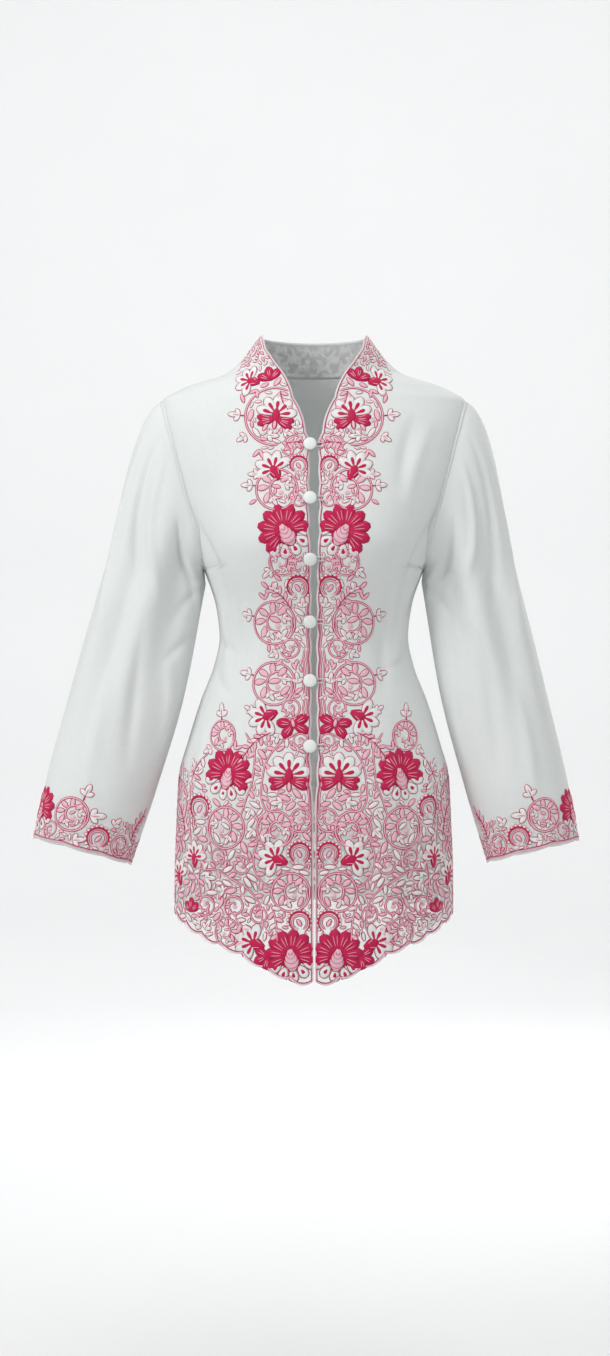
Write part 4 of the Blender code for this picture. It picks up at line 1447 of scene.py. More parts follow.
def sleeve_grid(side):
    """Points and flat places of a whole sleeve, from the armhole to the cuff.

    The cap is a sheaf of cubic curves from the armhole to the first section of the arm. The
    creases are added along the normals, and the cuff's lobes over the last rings.
    """
    hang = HANG["left" if side > 0 else "right"]
    loop = armhole_loop(SLEEVE_ACROSS)
    angle = np.arange(SLEEVE_ACROSS) * 2 * math.pi / SLEEVE_ACROSS
    first, run = sleeve_rings(np.zeros(1), hang, angle)
    length = np.linalg.norm(first[0] - loop, axis=1)[:, None]
    under = (1 - np.cos(angle)) / 2
    drop = CAP_DROP + (UNDERARM_DROP - CAP_DROP) * under
    leaves = unit(np.stack([np.ones(SLEEVE_ACROSS), -CAP_SPREAD * np.sin(angle), -drop], axis=1))
    start = loop + leaves * length * CAP_LEAVES
    end = first[0] - run[0] * length * CAP_ARRIVES
    t = (np.arange(CAP_RINGS) / CAP_RINGS)[:, None, None]
    cap = loop * (1 - t) ** 3 + start * 3 * t * (1 - t) ** 2 + end * 3 * t * t * (1 - t) + first * t**3
    share = np.linspace(0, 1, ARM_RINGS + 1)
    arm, run = sleeve_rings(share, hang, angle)
    drop = CUFF_LOBE_DEPTH * lobes(angle / (2 * math.pi) * CUFF_LOBES + 0.5, 1.0)
    arm = arm + run[:, None] * (drop[None, :] * share[:, None] ** 24)[..., None]
    points = np.concatenate([cap, arm])
    down = np.concatenate([t[:, 0, 0] * CAP_SHARE, CAP_SHARE + (1 - CAP_SHARE) * share])
    along = angle * ARM_ROUND / (2 * math.pi)
    rise = crease_rise(along[None, :], down[:, None] * SLEEVE_REACH, SLEEVE_CREASES, side, ARM_ROUND)
    points = points + grid_normals(points, closed=True) * (CREASE_DEPTH * rise)[..., None]
    flat = np.stack(np.broadcast_arrays(along[None, :], -down[:, None] * SLEEVE_REACH), axis=-1)
    return points * (side, 1, 1), flat


def front_hold(flat):
    """Keeps stitches on a front: clear of its edge, its side seam and its hem."""
    z = np.clip(flat[..., 1], LOWEST_Z, COLLAR_TOP_Z)
    along = soft_least(flat[..., 0], edge_arc(z) + HOLD_MARGIN)
    along = soft_most(along, front_seam_arc(z) - HOLD_MARGIN)
    up = soft_least(flat[..., 1], hem_height(skirt_x(along)) + HOLD_MARGIN + FRONT_HEM_ROOM)
    return np.stack([along, soft_most(up, COLLAR_TOP_Z - HOLD_MARGIN)], axis=-1)


def half_back_hold(flat, low, foot):
    """Keeps stitches between the middle of the back, its side, a foot and the neck."""
    z = np.clip(flat[..., 1], low, COLLAR_TOP_Z)
    along = soft_most(flat[..., 0], half_back_width(z) - HOLD_MARGIN)
    up = soft_least(flat[..., 1], foot)
    return np.stack([along, soft_most(up, COLLAR_TOP_Z - HOLD_MARGIN)], axis=-1)


def back_hold(flat):
    return half_back_hold(flat, LOWEST_Z, BACK_HEM_Z - BACK_HEM_DIP + HOLD_MARGIN + BACK_HEM_ROOM)


def collar_hold(flat):
    return half_back_hold(flat, COLLAR_FOOT_Z, COLLAR_FOOT_Z + 2 * HOLD_MARGIN)


def front_chart(side):
    """The front on one side, by distance from the middle and height."""
    wide, low = FRONT_MAP
    along = np.arange(0, wide, MAP_STEP)
    up = np.arange(low, COLLAR_TOP_Z + MAP_STEP, MAP_STEP)
    z = up[:, None] + 0 * along
    return Chart(along, up, creased_body(z, MEASURE.angle_at(z, along[None, :]), side), front_hold)


def back_chart(side, hold):
    """The back on one side, by distance from the middle of the back and height."""
    wide, low = BACK_MAP
    along = np.arange(0, wide, MAP_STEP)
    up = np.arange(low, COLLAR_TOP_Z + MAP_STEP, MAP_STEP)
    z = up[:, None] + 0 * along
    whole = MEASURE.arc_at(z, math.pi + 0 * z)
    return Chart(along, up, creased_body(z, MEASURE.angle_at(z, whole - along), side), hold)


def cuff_chart(side):
    """The lower arm, by distance round it from its outside and height over the cuff's edge."""
    points, flat = sleeve_grid(side)
    arm = points[-(ARM_RINGS // 2):][::-1]
    wide = np.concatenate([arm, arm[:, : SLEEVE_ACROSS // 2 + 4]], axis=1)
    along = np.arange(wide.shape[1]) * ARM_ROUND / SLEEVE_ACROSS
    length = np.linalg.norm(SLEEVE[-1, :3] - SLEEVE[0, :3])
    up = np.arange(len(arm)) * length / ARM_RINGS

    def cuff_hold(places):
        return np.stack([places[..., 0], soft_least(places[..., 1], HOLD_MARGIN + FRONT_HEM_ROOM)], axis=-1)

    chart = Chart(along, up, wide, cuff_hold)
    middle = arm.mean(axis=1, keepdims=True)
    if np.sum(chart.normals[:, :SLEEVE_ACROSS] * (arm - middle)) < 0:
        chart.normals = -chart.normals
    return chart


def in_front_border(x, y):
    """Where small leaves fill a front: its skirt border, its edge strip and its collar."""
    strip = (y > DENSE_TOP) & (x < read(STRIP, STRIP_COLUMNS, "width", y))
    above_hem = y > hem_height(skirt_x(x)) + FILL_FROM_HEM
    skirt = (y <= DENSE_TOP) & above_hem & (x < front_seam_arc(y) - FILL_FROM_SEAM)
    return (x > edge_arc(y) + FILL_FROM_EDGE) & (strip | skirt)


def in_back_border(x, y):
    """Where small leaves fill a half of the back: the skirt border alone."""
    level = (y > BACK_HEM_Z + FILL_FROM_BACK_HEM) & (y < DENSE_TOP)
    return level & (x < half_back_width(y) - FILL_FROM_SEAM)


def in_cuff_border(x, y):
    """Where small leaves fill half a cuff, up to a wavy line."""
    foot, top, wave, pitch, end = CUFF_FILL
    return (y > foot) & (y < top + wave * np.sin(x * 2 * math.pi / pitch)) & (x < end)


def line(thread, along, up, half):
    """An even line of stitches through places on the flat map."""
    return stroke(thread, np.stack(np.broadcast_arrays(along, up), axis=1), half, FILL_HEIGHT)


def edge_strokes():
    """Satin edging along a front's edge and hem, and the cords beside the edge."""
    z = np.linspace(*EDGE_RUN)
    made = [line(thread, edge_arc(z) + away, z, half) for thread, away, half in EDGE_LINES]
    along = np.linspace(*HEM_RUN)
    hem = hem_height(skirt_x(along)) + HEM_LOBE_DEPTH * (1 - lobes(along, HEM_LOBE))
    made += [line(thread, along, hem + up, half) for thread, up, half in HEM_LINES]
    for top, foot, away in EDGE_CORDS:
        z = np.linspace(top, foot, SCROLL_STEPS) / MILLIMETRES
        made += cord(np.stack([edge_arc(z) + away / MILLIMETRES, z], axis=1), VINE_WIDTH)
    return made


def front_strokes():
    made = strokes_of(FRONT_BORDER) + edge_strokes()
    for places in VINES:
        made += vine(places)
    return made + fillers(made, in_front_border, SEEDS["front"])


def back_strokes():
    """The skirt border of a front carried round the back, with an edging along the hem."""
    low, high = BACK_BORDER
    made = strokes_of([row for row in FRONT_BORDER if low < row[2] < high])
    for places in BACK_VINES:
        made += vine(places)
    made += fillers(made, in_back_border, SEEDS["back"])
    along = np.linspace(*BACK_HEM_RUN)
    hem = BACK_HEM_Z - BACK_HEM_DIP + BACK_LINES_RISE
    return made + [line(thread, along, hem + up, half) for thread, up, half in BACK_HEM_LINES]


def collar_strokes():
    """Rows of small pink leaves and white split leaves round the back of the collar."""
    made = []
    for number, along in enumerate(np.arange(*COLLAR_LEAVES)):
        for row, z in enumerate(COLLAR_LEAF_ROWS):
            turn = COLLAR_FIRST_TURN + COLLAR_NEXT_TURN * ((number * 5 + row * 3) % 7)
            white = (number + row) % 3 == 0
            shape = split_leaf(COLLAR_SPLIT_SIZE) if white else pink_leaf(COLLAR_PINK_SIZE)
            made += turned(shape, turn, (along + COLLAR_LEAF_SHIFT * (row % 2), z))
    along = np.linspace(*COLLAR_RUN)
    return made + [line(thread, along, z, half) for thread, z, half in COLLAR_LINES]


def cuff_strokes():
    """The border of a cuff, mirrored for the back half of the arm, and its edging."""
    flower = strokes_of(CUFF_FLOWER)
    border = strokes_of(CUFF_BORDER)
    behind = turned(flower, flip=True)
    outside = (ARM_ROUND, 0)
    leaves = fillers(flower + border, in_cuff_border, SEEDS["cuff_outside"])
    made = turned(flower + border + leaves, 0.0, outside)
    leaves = fillers(behind + border, in_cuff_border, SEEDS["cuff_behind"])
    made += turned(border + leaves, 0.0, outside, flip=True)
    along = np.linspace(*CUFF_RUN)
    return made + [line(thread, along, up, half) for thread, up, half in CUFF_LINES]


def thread_pieces(where, strokes, chart):
    """One piece for each thread of a border."""
    for thread in THREADS:
        own = [s for s in strokes if s[0] == thread]
        if own:
            points, polygons, uv = stitch_mesh(own, chart)
            mesh_piece(f"{thread}_stitches_{where}", points, polygons, thread_material(thread), uv)


def seam_loft(name, path, normals, material):
    """A low rounded welt along a seam: half an ellipse carried along it, flat underneath."""
    across = unit(np.cross(np.gradient(path, axis=0), normals))
    section = across[:, None] * (PROFILE_ACROSS * SEAM_HALF)[:, None]
    lift = CLOTH_OUTER - 2 * SINK + (SEAM_RISE + 2 * SINK) * PROFILE_LIFT
    points = path[:, None] + section + normals[:, None] * lift[:, None]
    ring = len(PROFILE_ACROSS)
    index = np.arange(len(path) * ring).reshape(-1, ring)
    polygons = [ring_quads(index), np.stack([index[0, ::-1], index[-1]])]
    flat = points.reshape(-1, 3)
    if signed_volume(flat, *polygons) < 0:
        polygons = [faces[:, ::-1] for faces in polygons]
    way = np.concatenate([[0], np.cumsum(np.linalg.norm(np.diff(path, axis=0), axis=1))])
    uv = np.stack(np.broadcast_arrays(PROFILE_ACROSS * SEAM_HALF, way[:, None]), axis=-1)
    piece = mesh_piece(name, flat, polygons, material, uv.reshape(-1, 2))


def armhole_seam(name, side, sleeve, material):
    """The seam from a body's armhole edge to a sleeve's first ring, lapped over both.

    Its rows go from a little inside the panels' edge, over the edge, to the sleeve's first
    ring and a little down the sleeve, all lifted just above the cloth.
    """
    heights = armhole_heights(SLEEVE_ACROSS // 2)
    rising = heights[::-1][1:-1]
    places = np.concatenate([heights, rising])
    angles = np.concatenate([outer_angle(heights, "front"), math.pi - outer_angle(rising, "back")])
    edge = creased_body(places, angles, side)
    out = facing(partial(creased_body, side=side), places, angles) * side
    away = edge - edge.mean(axis=0)
    away = unit(away - out * np.sum(away * out, axis=1, keepdims=True))
    lifted = edge + out * ARMHOLE_LIFT
    sleeve_out = grid_normals(sleeve, closed=True)[0]
    first = sleeve[0] + sleeve_out * ARMHOLE_LIFT
    down = unit(sleeve[1] - sleeve[0])
    inside = lifted + away * ARMHOLE_LAP - out * ARMHOLE_TUCK
    points = np.stack([inside, lifted + away * ARMHOLE_TURN, first, first + down * ARMHOLE_LAP])
    piece = cloth_piece(name, points, np.zeros((*points.shape[:2], 2)), material, closed=True, side=side)


def seat(x, z):
    """Where a button or loop sits: a point on the cloth's outer face and the axes there."""
    angle = angle_at_x(z, abs(x))
    here = body_points(z, angle)
    up = body_points(z + SMALL_RISE, angle_at_x(z + SMALL_RISE, abs(x))) - here
    normal = unit(np.cross(body_points(z, angle + 0.01) - here, up))
    turn = np.array([-1 if x < 0 else 1, 1, 1])
    here = here * turn
    normal = normal * turn
    across = unit(np.cross(unit(up), normal))
    return here + normal * SOLID_WALL, across, np.cross(normal, across), normal


def button_piece(number, z, material):
    """A cloth-covered button: a domed head, turned about its axis, gathered at its rim.

    Its outline goes from the middle of the dome round the rim to the shank. The gathers are a
    sine wave round the rim that fades towards the dome.
    """
    turn = np.linspace(0, math.pi / 2, DOME_RINGS + 1)[1:]
    radius = np.concatenate([BUTTON_RADIUS * np.sin(turn), BUTTON_UNDER[:, 0]])
    dome = BUTTON_RIM + (BUTTON_TOP - BUTTON_RIM) * np.cos(turn)
    height = np.concatenate([dome, BUTTON_UNDER[:, 1]])
    around = np.linspace(0, 2 * math.pi, BUTTON_AROUND, endpoint=False)
    fade = np.exp(-(((height - GATHER_Z) / GATHER_SPREAD) ** 2))[:, None]
    gather = BUTTON_GATHER * np.sin(BUTTON_GATHERS * around) * fade
    out = radius[:, None] + gather * (radius > GATHER_FROM)[:, None]
    flat = np.stack([out * np.cos(around), out * np.sin(around)], axis=-1)
    here, across, up, normal = seat(BUTTON_X, z)
    rings = here + flat[..., :1] * across + flat[..., 1:] * up + height[:, None, None] * normal
    points = np.concatenate([rings.reshape(-1, 3), [here + normal * BUTTON_TOP, here + normal * REST_GAP]])
    quads = grid_quads(len(radius), BUTTON_AROUND, closed=True)
    first = np.arange(BUTTON_AROUND)
    last = (len(radius) - 1) * BUTTON_AROUND + first
    top = np.stack([np.full(BUTTON_AROUND, len(points) - 2), np.roll(first, -1), first], axis=1)
    foot = np.stack([np.full(BUTTON_AROUND, len(points) - 1), last, np.roll(last, -1)], axis=1)
    polygons = [quads, top, foot]
    if signed_volume(points, quads) < 0:
        polygons = [quads[:, ::-1], top, foot]
    if signed_volume(points - here, top) < 0:
        polygons[1] = top[:, ::-1]
    if signed_volume(points - here - normal * BUTTON_TOP, foot) < 0:
        polygons[2] = foot[:, ::-1]
    flat_uv = np.concatenate([flat.reshape(-1, 2), [(0, 0), (0, 0)]])
    piece = mesh_piece(f"covered_button_{number}", points, polygons, material, flat_uv)
    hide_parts(f"button_{number}")


def loop_piece(number, z, material):
    """A rouleau loop: a round cord from the other front's edge, round the button's shank."""
    reach = BUTTON_X - SHANK_RADIUS - LOOP_THICKNESS
    centre = reach + LOOP_HALF_HEIGHT
    straight = np.linspace(LOOP_ROOT_X, LOOP_BEND_X, LOOP_STRAIGHT)
    bend = np.radians(np.linspace(-90, 90, LOOP_BEND))
    x = np.concatenate([straight, centre - LOOP_HALF_HEIGHT * np.cos(bend), straight[::-1]])
    rise = np.full(LOOP_STRAIGHT, -LOOP_HALF_HEIGHT)
    rise = np.concatenate([rise, LOOP_HALF_HEIGHT * np.sin(bend), -rise])
    seats = [seat(a, z + b) for a, b in zip(x, rise)]
    path = np.array([here + normal * LOOP_LIFT for here, across, up, normal in seats])
    normals = np.array([normal for here, across, up, normal in seats])
    across = unit(np.cross(unit(np.gradient(path, axis=0)), normals))
    turn = np.linspace(0, 2 * math.pi, LOOP_AROUND, endpoint=False)
    ring = np.cos(turn)[:, None] * across[:, None] + np.sin(turn)[:, None] * normals[:, None]
    points = (path[:, None] + ring * LOOP_THICKNESS / 2).reshape(-1, 3)
    quads = grid_quads(len(path), LOOP_AROUND, closed=True)
    index = np.arange(len(points)).reshape(-1, LOOP_AROUND)
    caps = np.stack([index[0], index[-1, ::-1]])
    if signed_volume(points, quads, caps) < 0:
        quads = quads[:, ::-1]
        caps = caps[:, ::-1]
    way = np.cumsum(np.linalg.norm(np.gradient(path, axis=0), axis=1))
    uv = np.stack(np.broadcast_arrays(turn * LOOP_THICKNESS / 2, way[:, None]), axis=-1).reshape(-1, 2)
    piece = mesh_piece(f"rouleau_loop_{number}", points, [quads, caps], material, uv)
    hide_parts(f"loop_{number}")


class Nodes:
    """Short ways to add and join the nodes of one material."""

    def __init__(self, name):
        self.material = bpy.data.materials.new(name)
        self.material.use_nodes = True
        self.tree = self.material.node_tree
        self.shader = self.tree.nodes["Principled BSDF"]

    def add(self, kind, **settings):
        node = self.tree.nodes.new(kind)
        for name, value in settings.items():
            setattr(node, name, value)
        return node

    def link(self, start, end):
        self.tree.links.new(start, end)

    def set(self, **values):
        for name, value in values.items():
            self.shader.inputs[name.replace("_", " ").title().replace("Ior", "IOR")].default_value = value

    def cloth_uv(self, scale=(1, 1, 1)):
        uv = self.add("ShaderNodeUVMap", uv_map="cloth")
        mapping = self.add("ShaderNodeMapping")
        mapping.inputs["Scale"].default_value = scale
        self.link(uv.outputs["UV"], mapping.inputs["Vector"])
        return mapping.outputs["Vector"]

    def bands(self, vector, direction, pitch, distortion=0.0):
        """Sine bands of a pitch in metres: a wave texture has a period of 2 pi / 20 / scale."""
        wave = self.add("ShaderNodeTexWave", bands_direction=direction)
        wave.inputs["Scale"].default_value = 2 * math.pi / 20 / pitch
        wave.inputs["Distortion"].default_value = distortion
        self.link(vector, wave.inputs["Vector"])
        return wave.outputs["Fac"]

    def noise(self, vector, scale, detail=2.0):
        noise = self.add("ShaderNodeTexNoise")
        noise.inputs["Scale"].default_value = scale
        noise.inputs["Detail"].default_value = detail
        self.link(vector, noise.inputs["Vector"])
        return noise.outputs["Fac"]

    def math(self, operation, first, second):
        node = self.add("ShaderNodeMath", operation=operation)
        for socket, value in zip(node.inputs, (first, second)):
            if isinstance(value, (int, float)):
                socket.default_value = value
            else:
                self.link(value, socket)
        return node.outputs["Value"]

    def between(self, factor, low, high):
        """A colour between two colours, into the base colour."""
        mix = self.add("ShaderNodeMix", data_type="RGBA")
        mix.inputs["A"].default_value = (*low, 1)
        mix.inputs["B"].default_value = (*high, 1)
        self.link(factor, mix.inputs["Factor"])
        self.link(mix.outputs["Result"], self.shader.inputs["Base Color"])

    def bump(self, height, distance, strength=1.0):
        bump = self.add("ShaderNodeBump")
        bump.inputs["Strength"].default_value = strength
        bump.inputs["Distance"].default_value = distance
        self.link(height, bump.inputs["Height"])
        self.link(bump.outputs["Normal"], self.shader.inputs["Normal"])


def tint(colour, amount):
    return tuple(min(1.0, channel * amount) for channel in colour)


def weave_height(made, pitch):
    """A plain weave: threads that go over and under by turns, from two sets of bands."""
    uv = made.cloth_uv()
    warp = made.bands(uv, "X", pitch, 0.4)
    weft = made.bands(uv, "Y", pitch, 0.4)
    return made.math("MAXIMUM", warp, weft)


def face_cover(cover):
    """The cover of one face of a shell whose two faces together hide a share of what is behind."""
    return 1 - math.sqrt(1 - cover)


def voile_material(settings):
    """Fine voile: plain weave, slubs along both threads, soft sheen, sheerer below the hips."""
    made = Nodes("fine_voile")
    colour = tuple(settings.cloth_colour)
    slubs = made.math(
        "ADD",
        made.noise(made.cloth_uv((900, 60, 1)), 1.0),
        made.noise(made.cloth_uv((60, 900, 1)), 1.0),
    )
    weave = weave_height(made, settings.weave_pitch)
    # The weave bands darken the colour between the threads as painted shade; the slubs are the yarn's own
    # uneven tone.
    threads = made.math("ADD", made.math("MULTIPLY", weave, 0.4), 0.6)
    mixed = made.math("MULTIPLY", made.math("MULTIPLY", slubs, 0.5), threads)
    made.between(mixed, tint(colour, 0.90), tint(colour, 1.06))
    made.set(roughness=0.72, sheen_weight=0.35, sheen_roughness=0.35, specular_ior_level=0.35)
    made.bump(made.math("ADD", weave, slubs), 0.00006, 0.6)
    place = made.add("ShaderNodeTexCoord")
    split = made.add("ShaderNodeSeparateXYZ")
    made.link(place.outputs["Object"], split.inputs["Vector"])
    sheer = made.add("ShaderNodeMapRange", interpolation_type="SMOOTHSTEP")
    sheer.inputs["From Min"].default_value = SHEER_FROM
    sheer.inputs["From Max"].default_value = SHEER_TO
    sheer.inputs["To Min"].default_value = face_cover(settings.skirt_cover)
    sheer.inputs["To Max"].default_value = face_cover(settings.body_cover)
    made.link(split.outputs["Z"], sheer.inputs["Value"])
    made.link(sheer.outputs["Result"], made.shader.inputs["Alpha"])
    return made.material


def thread_material(thread):
    """Satin stitch: close parallel threads across each form, with sheen and slight painted shade, darker in
    the grooves between the stitches.
    """
    name = f"{thread}_thread"
    if name in bpy.data.materials:
        return bpy.data.materials[name]
    made = Nodes(name)
    colour = THREADS[thread]
    stitches = made.bands(made.cloth_uv(), "Y", STITCH_PITCH, 0.6)
    tone = made.noise(made.cloth_uv((220, 900, 1)), 1.0)
    # The stitch bands in the colour are painted shade in the grooves between stitches; the noise is the
    # thread's own uneven tone.
    mixed = made.math("MULTIPLY", tone, made.math("ADD", made.math("MULTIPLY", stitches, 0.5), 0.5))
    made.between(mixed, tint(colour, 0.80), tint(colour, 1.20))
    made.set(roughness=0.5, sheen_weight=0.06, sheen_roughness=0.3, specular_ior_level=0.3)
    made.bump(stitches, 0.00012, 0.8)
    return made.material


def button_material(settings):
    """Voile pulled over a button: a close weave and soft shading from the padding."""
    made = Nodes("button_voile")
    colour = tuple(settings.button_colour)
    weave = weave_height(made, BUTTON_WEAVE)
    tone = made.noise(made.cloth_uv(), 260.0)
    # The weave bands darken the colour between the threads as painted shade, and the noise is painted shade
    # from the padding.
    made.between(made.math("MULTIPLY", tone, weave), tint(colour, 0.90), tint(colour, 1.08))
    made.set(roughness=0.62, sheen_weight=0.4, sheen_roughness=0.35, specular_ior_level=0.4)
    made.bump(weave, 0.00008, 0.8)
    return made.material


def rouleau_material(settings):
    """Bias-cut voile rolled into a cord: the weave runs aslant round it."""
    made = Nodes("bias_rouleau")
    colour = tuple(settings.button_colour)
    uv = made.cloth_uv()
    twist = made.bands(uv, "DIAGONAL", ROULEAU_WEAVE, 0.3)
    tone = made.noise(uv, 600.0)
    # The diagonal bands darken the colour between the turns of the weave as painted shade; the noise is
    # random tone.
    made.between(made.math("MULTIPLY", tone, twist), tint(colour, 0.80), tint(colour, 1.02))
    made.set(roughness=0.66, sheen_weight=0.4, sheen_roughness=0.35, specular_ior_level=0.4)
    made.bump(twist, 0.00010, 0.8)
    return made.material


def stage_material():
    made = Nodes("studio_floor")
    place = made.add("ShaderNodeTexCoord")
    tone = made.noise(place.outputs["Object"], 1.4, 3.0)
    made.between(tone, (0.83, 0.832, 0.834), (0.86, 0.862, 0.864))
    made.set(roughness=0.9, specular_ior_level=0.1)
    return made.material


class KebayaCloth(bpy.types.PropertyGroup):
    """Sizes and colours of the blouse that a user would change."""

    cloth_colour: FloatVectorProperty(
        name="Cloth colour",
        description="Colour of the voile",
        subtype="COLOR",
        default=(0.86, 0.89, 0.875),
        min=0,
        max=1,
    )
    button_colour: FloatVectorProperty(
        name="Button colour",
        description="Colour of the covered buttons and their loops",
        subtype="COLOR",
        default=(0.80, 0.84, 0.825),
        min=0,
        max=1,
    )
    weave_pitch: FloatProperty(
        name="Weave pitch",
        description="Distance from one thread of the voile to the next",
        default=0.00055,
        min=0.0002,
        max=0.002,
        precision=5,
        unit="LENGTH",
    )
    body_cover: FloatProperty(
        name="Body cover",
        description="How much the voile hides above the hips",
        default=0.95,
        min=0,
        max=1,
        subtype="FACTOR",
    )
    skirt_cover: FloatProperty(
        name="Skirt cover",
        description="How much the voile hides below the hips",
        default=0.62,
        min=0,
        max=1,
        subtype="FACTOR",
    )


def declare_cloth(node):
    """Hides the solid that a panel stands for."""
    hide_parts(node)


def voile(context):
    """The one material of all the cloth."""
    if "fine_voile" in bpy.data.materials:
        return bpy.data.materials["fine_voile"]
    return voile_material(context.scene.kebaya_cloth)


class KEBAYA_OT_fronts(bpy.types.Operator):
    """Make the two fronts with their lobed edges, hem and collar ends"""

    bl_idname = "kebaya.fronts"
    bl_label = "Fronts"

    def execute(self, context):
        for name, side in SIDES.items():
            points, flat = front_grid(side)
            piece = cloth_piece(f"voile_front_{name}", points, flat, voile(context))
            declare_cloth(f"front_{name}")
        return {"FINISHED"}


class KEBAYA_OT_back(bpy.types.Operator):
    """Make the back and the collar band above it"""

    bl_idname = "kebaya.back"
    bl_label = "Back and collar band"

    def execute(self, context):
        points, flat = back_grid(SKIRT_Z, COLLAR_FOOT_Z)
        piece = cloth_piece("voile_back", points, flat, voile(context))
        declare_cloth("back")
        foot = COLLAR_FOOT_Z + 1.5 * SEAM_GAP
        points, flat = back_grid(foot, COLLAR_TOP_Z)
        piece = cloth_piece("voile_collar_band", points, flat, voile(context))
        declare_cloth("collar_band")
        return {"FINISHED"}


class KEBAYA_OT_sleeves(bpy.types.Operator):
    """Make the two long sleeves, each from its armhole to its lobed cuff"""

    bl_idname = "kebaya.sleeves"
    bl_label = "Sleeves"

    def execute(self, context):
        for name, side in SIDES.items():
            points, flat = sleeve_grid(side)
            piece = cloth_piece(f"voile_sleeve_{name}", points, flat, voile(context), closed=True)
            declare_cloth(f"sleeve_{name}")
        return {"FINISHED"}


class KEBAYA_OT_seams(bpy.types.Operator):
    """Make the welts of the shoulder, side, armhole, underarm and collar seams"""

    bl_idname = "kebaya.seams"
    bl_label = "Seams"

    def execute(self, context):
        material = voile(context)
        for name, side in SIDES.items():
            shoulder = np.linspace(SHOULDER_TIP_Z + SEAM_INSET, COLLAR_TOP_Z - SEAM_INSET, SHOULDER_STEPS)
            flank = np.linspace(BACK_HEM_Z + SEAM_INSET, UNDERARM_Z - SEAM_INSET, FLANK_STEPS)
            for part, z in (("shoulder", shoulder), ("side", flank)):
                middle = creased_body(z, np.full(len(z), math.pi / 2), side)
                around = creased_body(z, np.full(len(z), math.pi / 2 + SEAM_TURN), side)
                around -= creased_body(z, np.full(len(z), math.pi / 2 - SEAM_TURN), side)
                normal = unit(np.cross(around, np.gradient(middle, axis=0))) * side
                seam_loft(f"seam_{part}_{name}", middle, normal, material)
            points, flat = sleeve_grid(side)
            normals = grid_normals(points, closed=True)
            armhole_seam(f"seam_armhole_{name}", side, points, material)
            under = SLEEVE_ACROSS // 2
            seam_loft(f"seam_underarm_{name}", points[2:, under], normals[2:, under], material)
        points, flat = back_grid(COLLAR_FOOT_Z + SEAM_GAP, COLLAR_TOP_Z)
        normals = grid_normals(points)
        seam_loft("seam_collar", points[0], normals[0], material)
        return {"FINISHED"}


class KEBAYA_OT_front_stitches(bpy.types.Operator):
    """Embroider the borders of the two fronts"""

    bl_idname = "kebaya.front_stitches"
    bl_label = "Front borders"

    def execute(self, context):
        strokes = front_strokes()
        for name, side in SIDES.items():
            thread_pieces(f"front_{name}", strokes, front_chart(side))
        return {"FINISHED"}


class KEBAYA_OT_back_stitches(bpy.types.Operator):
    """Embroider the skirt border of the back and the collar band"""

    bl_idname = "kebaya.back_stitches"
    bl_label = "Back borders"

    def execute(self, context):
        skirt = back_strokes()
        collar = collar_strokes()
        for name, side in SIDES.items():
            thread_pieces(f"back_{name}", skirt, back_chart(side, back_hold))
            thread_pieces(f"collar_{name}", collar, back_chart(side, collar_hold))
        return {"FINISHED"}


class KEBAYA_OT_cuff_stitches(bpy.types.Operator):
    """Embroider the borders of the two cuffs"""

    bl_idname = "kebaya.cuff_stitches"
    bl_label = "Cuff borders"

    def execute(self, context):
        strokes = cuff_strokes()
        for name, side in SIDES.items():
            thread_pieces(f"cuff_{name}", strokes, cuff_chart(side))
        return {"FINISHED"}


class KEBAYA_OT_buttons(bpy.types.Operator):
    """Make the covered buttons and the loops that hold them"""

    bl_idname = "kebaya.buttons"
    bl_label = "Buttons and loops"

    def execute(self, context):
        settings = context.scene.kebaya_cloth
        covered = button_material(settings)
        rouleau = rouleau_material(settings)
        for number, z in enumerate(BUTTON_HEIGHTS, start=1):
            button_piece(number, z, covered)
            loop_piece(number, z, rouleau)
        return {"FINISHED"}


def add_light(light, aim):
    """A soft square lamp turned towards a point."""
    name, x, y, z, size, watts = light
    lamp = bpy.data.lights.new(name, "AREA")
    lamp.size = size
    lamp.energy = watts
    piece = bpy.data.objects.new(name, lamp)
    piece.location = (x, y, z)
    piece.rotation_euler = (Vector(aim) - piece.location).to_track_quat("-Z", "Y").to_euler()
    bpy.context.scene.collection.objects.link(piece)


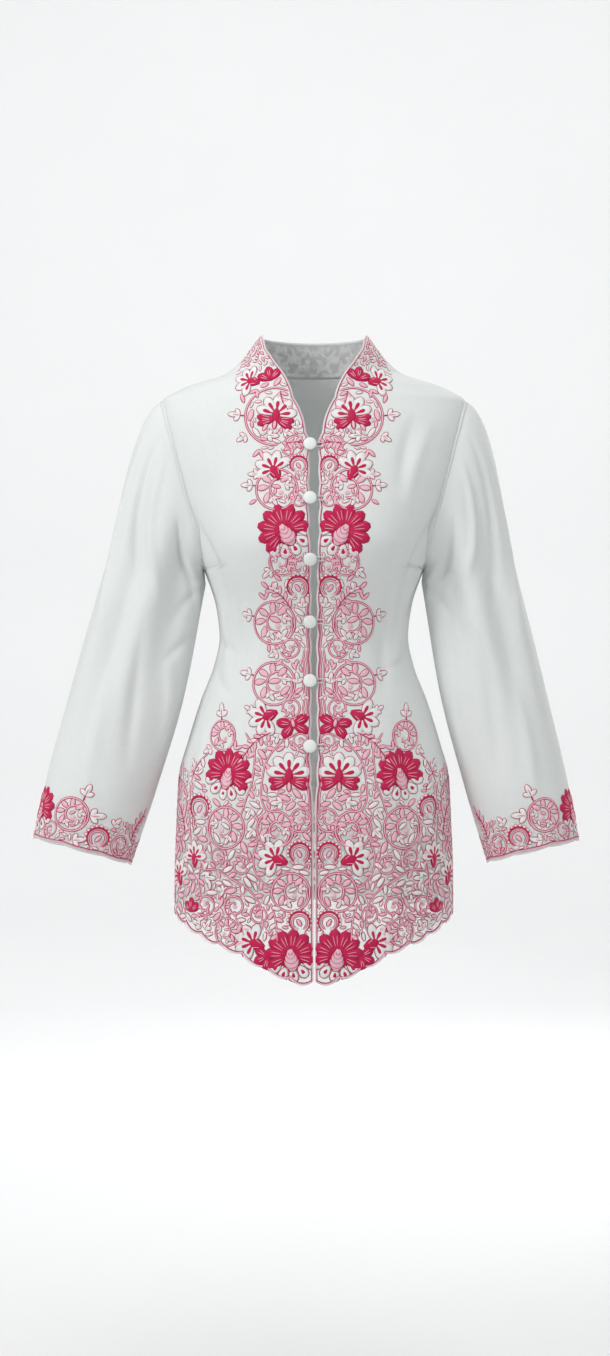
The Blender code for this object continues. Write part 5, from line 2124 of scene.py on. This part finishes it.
class KEBAYA_OT_stage(bpy.types.Operator):
    """Set the pale studio floor, its lights and the camera"""

    bl_idname = "kebaya.stage"
    bl_label = "Stage"

    def execute(self, context):
        around = np.linspace(0, 2 * math.pi, BOWL_AROUND, endpoint=False)
        rings = np.stack(
            [
                BOWL[:, :1] * np.cos(around),
                BOWL[:, :1] * np.sin(around),
                FLOOR_Z + BOWL[:, 1:] + 0 * around,
            ],
            axis=-1,
        )
        points = np.concatenate([rings.reshape(-1, 3), [(0, 0, FLOOR_Z)]])
        quads = grid_quads(len(BOWL), BOWL_AROUND, closed=True)
        first = np.arange(BOWL_AROUND)
        middle = np.full(BOWL_AROUND, len(points) - 1)
        floor = np.stack([middle, np.roll(first, -1), first], axis=1)
        mesh = bpy.data.meshes.new("studio_floor")
        mesh.from_pydata(points.tolist(), [], [tuple(f) for f in floor] + [tuple(f) for f in quads])
        mesh.shade_smooth()
        mesh.materials.append(stage_material())
        bowl = bpy.data.objects.new("studio_floor", mesh)
        context.scene.collection.objects.link(bowl)
        for light in LIGHTS:
            add_light(light, BLOUSE_AIM)
        add_light(BACKDROP_LIGHT, BACKDROP_AIM)
        world = bpy.data.worlds.new("studio")
        world.use_nodes = True
        world.node_tree.nodes["Background"].inputs["Color"].default_value = (0.95, 0.96, 0.97, 1)
        world.node_tree.nodes["Background"].inputs["Strength"].default_value = 0.40
        context.scene.world = world
        context.scene.view_settings.view_transform = "Standard"
        lens = bpy.data.cameras.new("camera")
        lens.sensor_width = 36
        lens.lens = CAMERA_LENS
        camera = bpy.data.objects.new("camera", lens)
        camera.location = CAMERA_PLACE
        camera.rotation_euler = (math.pi / 2, 0, 0)
        context.scene.collection.objects.link(camera)
        context.scene.camera = camera
        return {"FINISHED"}


class KEBAYA_PT_panel(bpy.types.Panel):
    """Sizes, colours and steps of the blouse."""

    bl_idname = "KEBAYA_PT_panel"
    bl_label = "Kebaya blouse"
    bl_space_type = "VIEW_3D"
    bl_region_type = "UI"
    bl_category = "Kebaya"

    def draw(self, context):
        settings = context.scene.kebaya_cloth
        for name in ("cloth_colour", "button_colour", "weave_pitch", "body_cover", "skirt_cover"):
            self.layout.prop(settings, name)
        for step in STEPS:
            self.layout.operator(step.bl_idname)


STEPS = (
    KEBAYA_OT_stage,
    KEBAYA_OT_fronts,
    KEBAYA_OT_back,
    KEBAYA_OT_sleeves,
    KEBAYA_OT_seams,
    KEBAYA_OT_front_stitches,
    KEBAYA_OT_back_stitches,
    KEBAYA_OT_cuff_stitches,
    KEBAYA_OT_buttons,
)


def register():
    for kind in (KebayaCloth, *STEPS, KEBAYA_PT_panel):
        bpy.utils.register_class(kind)
    bpy.types.Scene.kebaya_cloth = PointerProperty(type=KebayaCloth)


def unregister():
    del bpy.types.Scene.kebaya_cloth
    for kind in (KEBAYA_PT_panel, *reversed(STEPS), KebayaCloth):
        bpy.utils.unregister_class(kind)


def main():
    register()
    for step in STEPS:
        group, name = step.bl_idname.split(".")
        getattr(getattr(bpy.ops, group), name)()


if __name__ == "__main__":
    main()
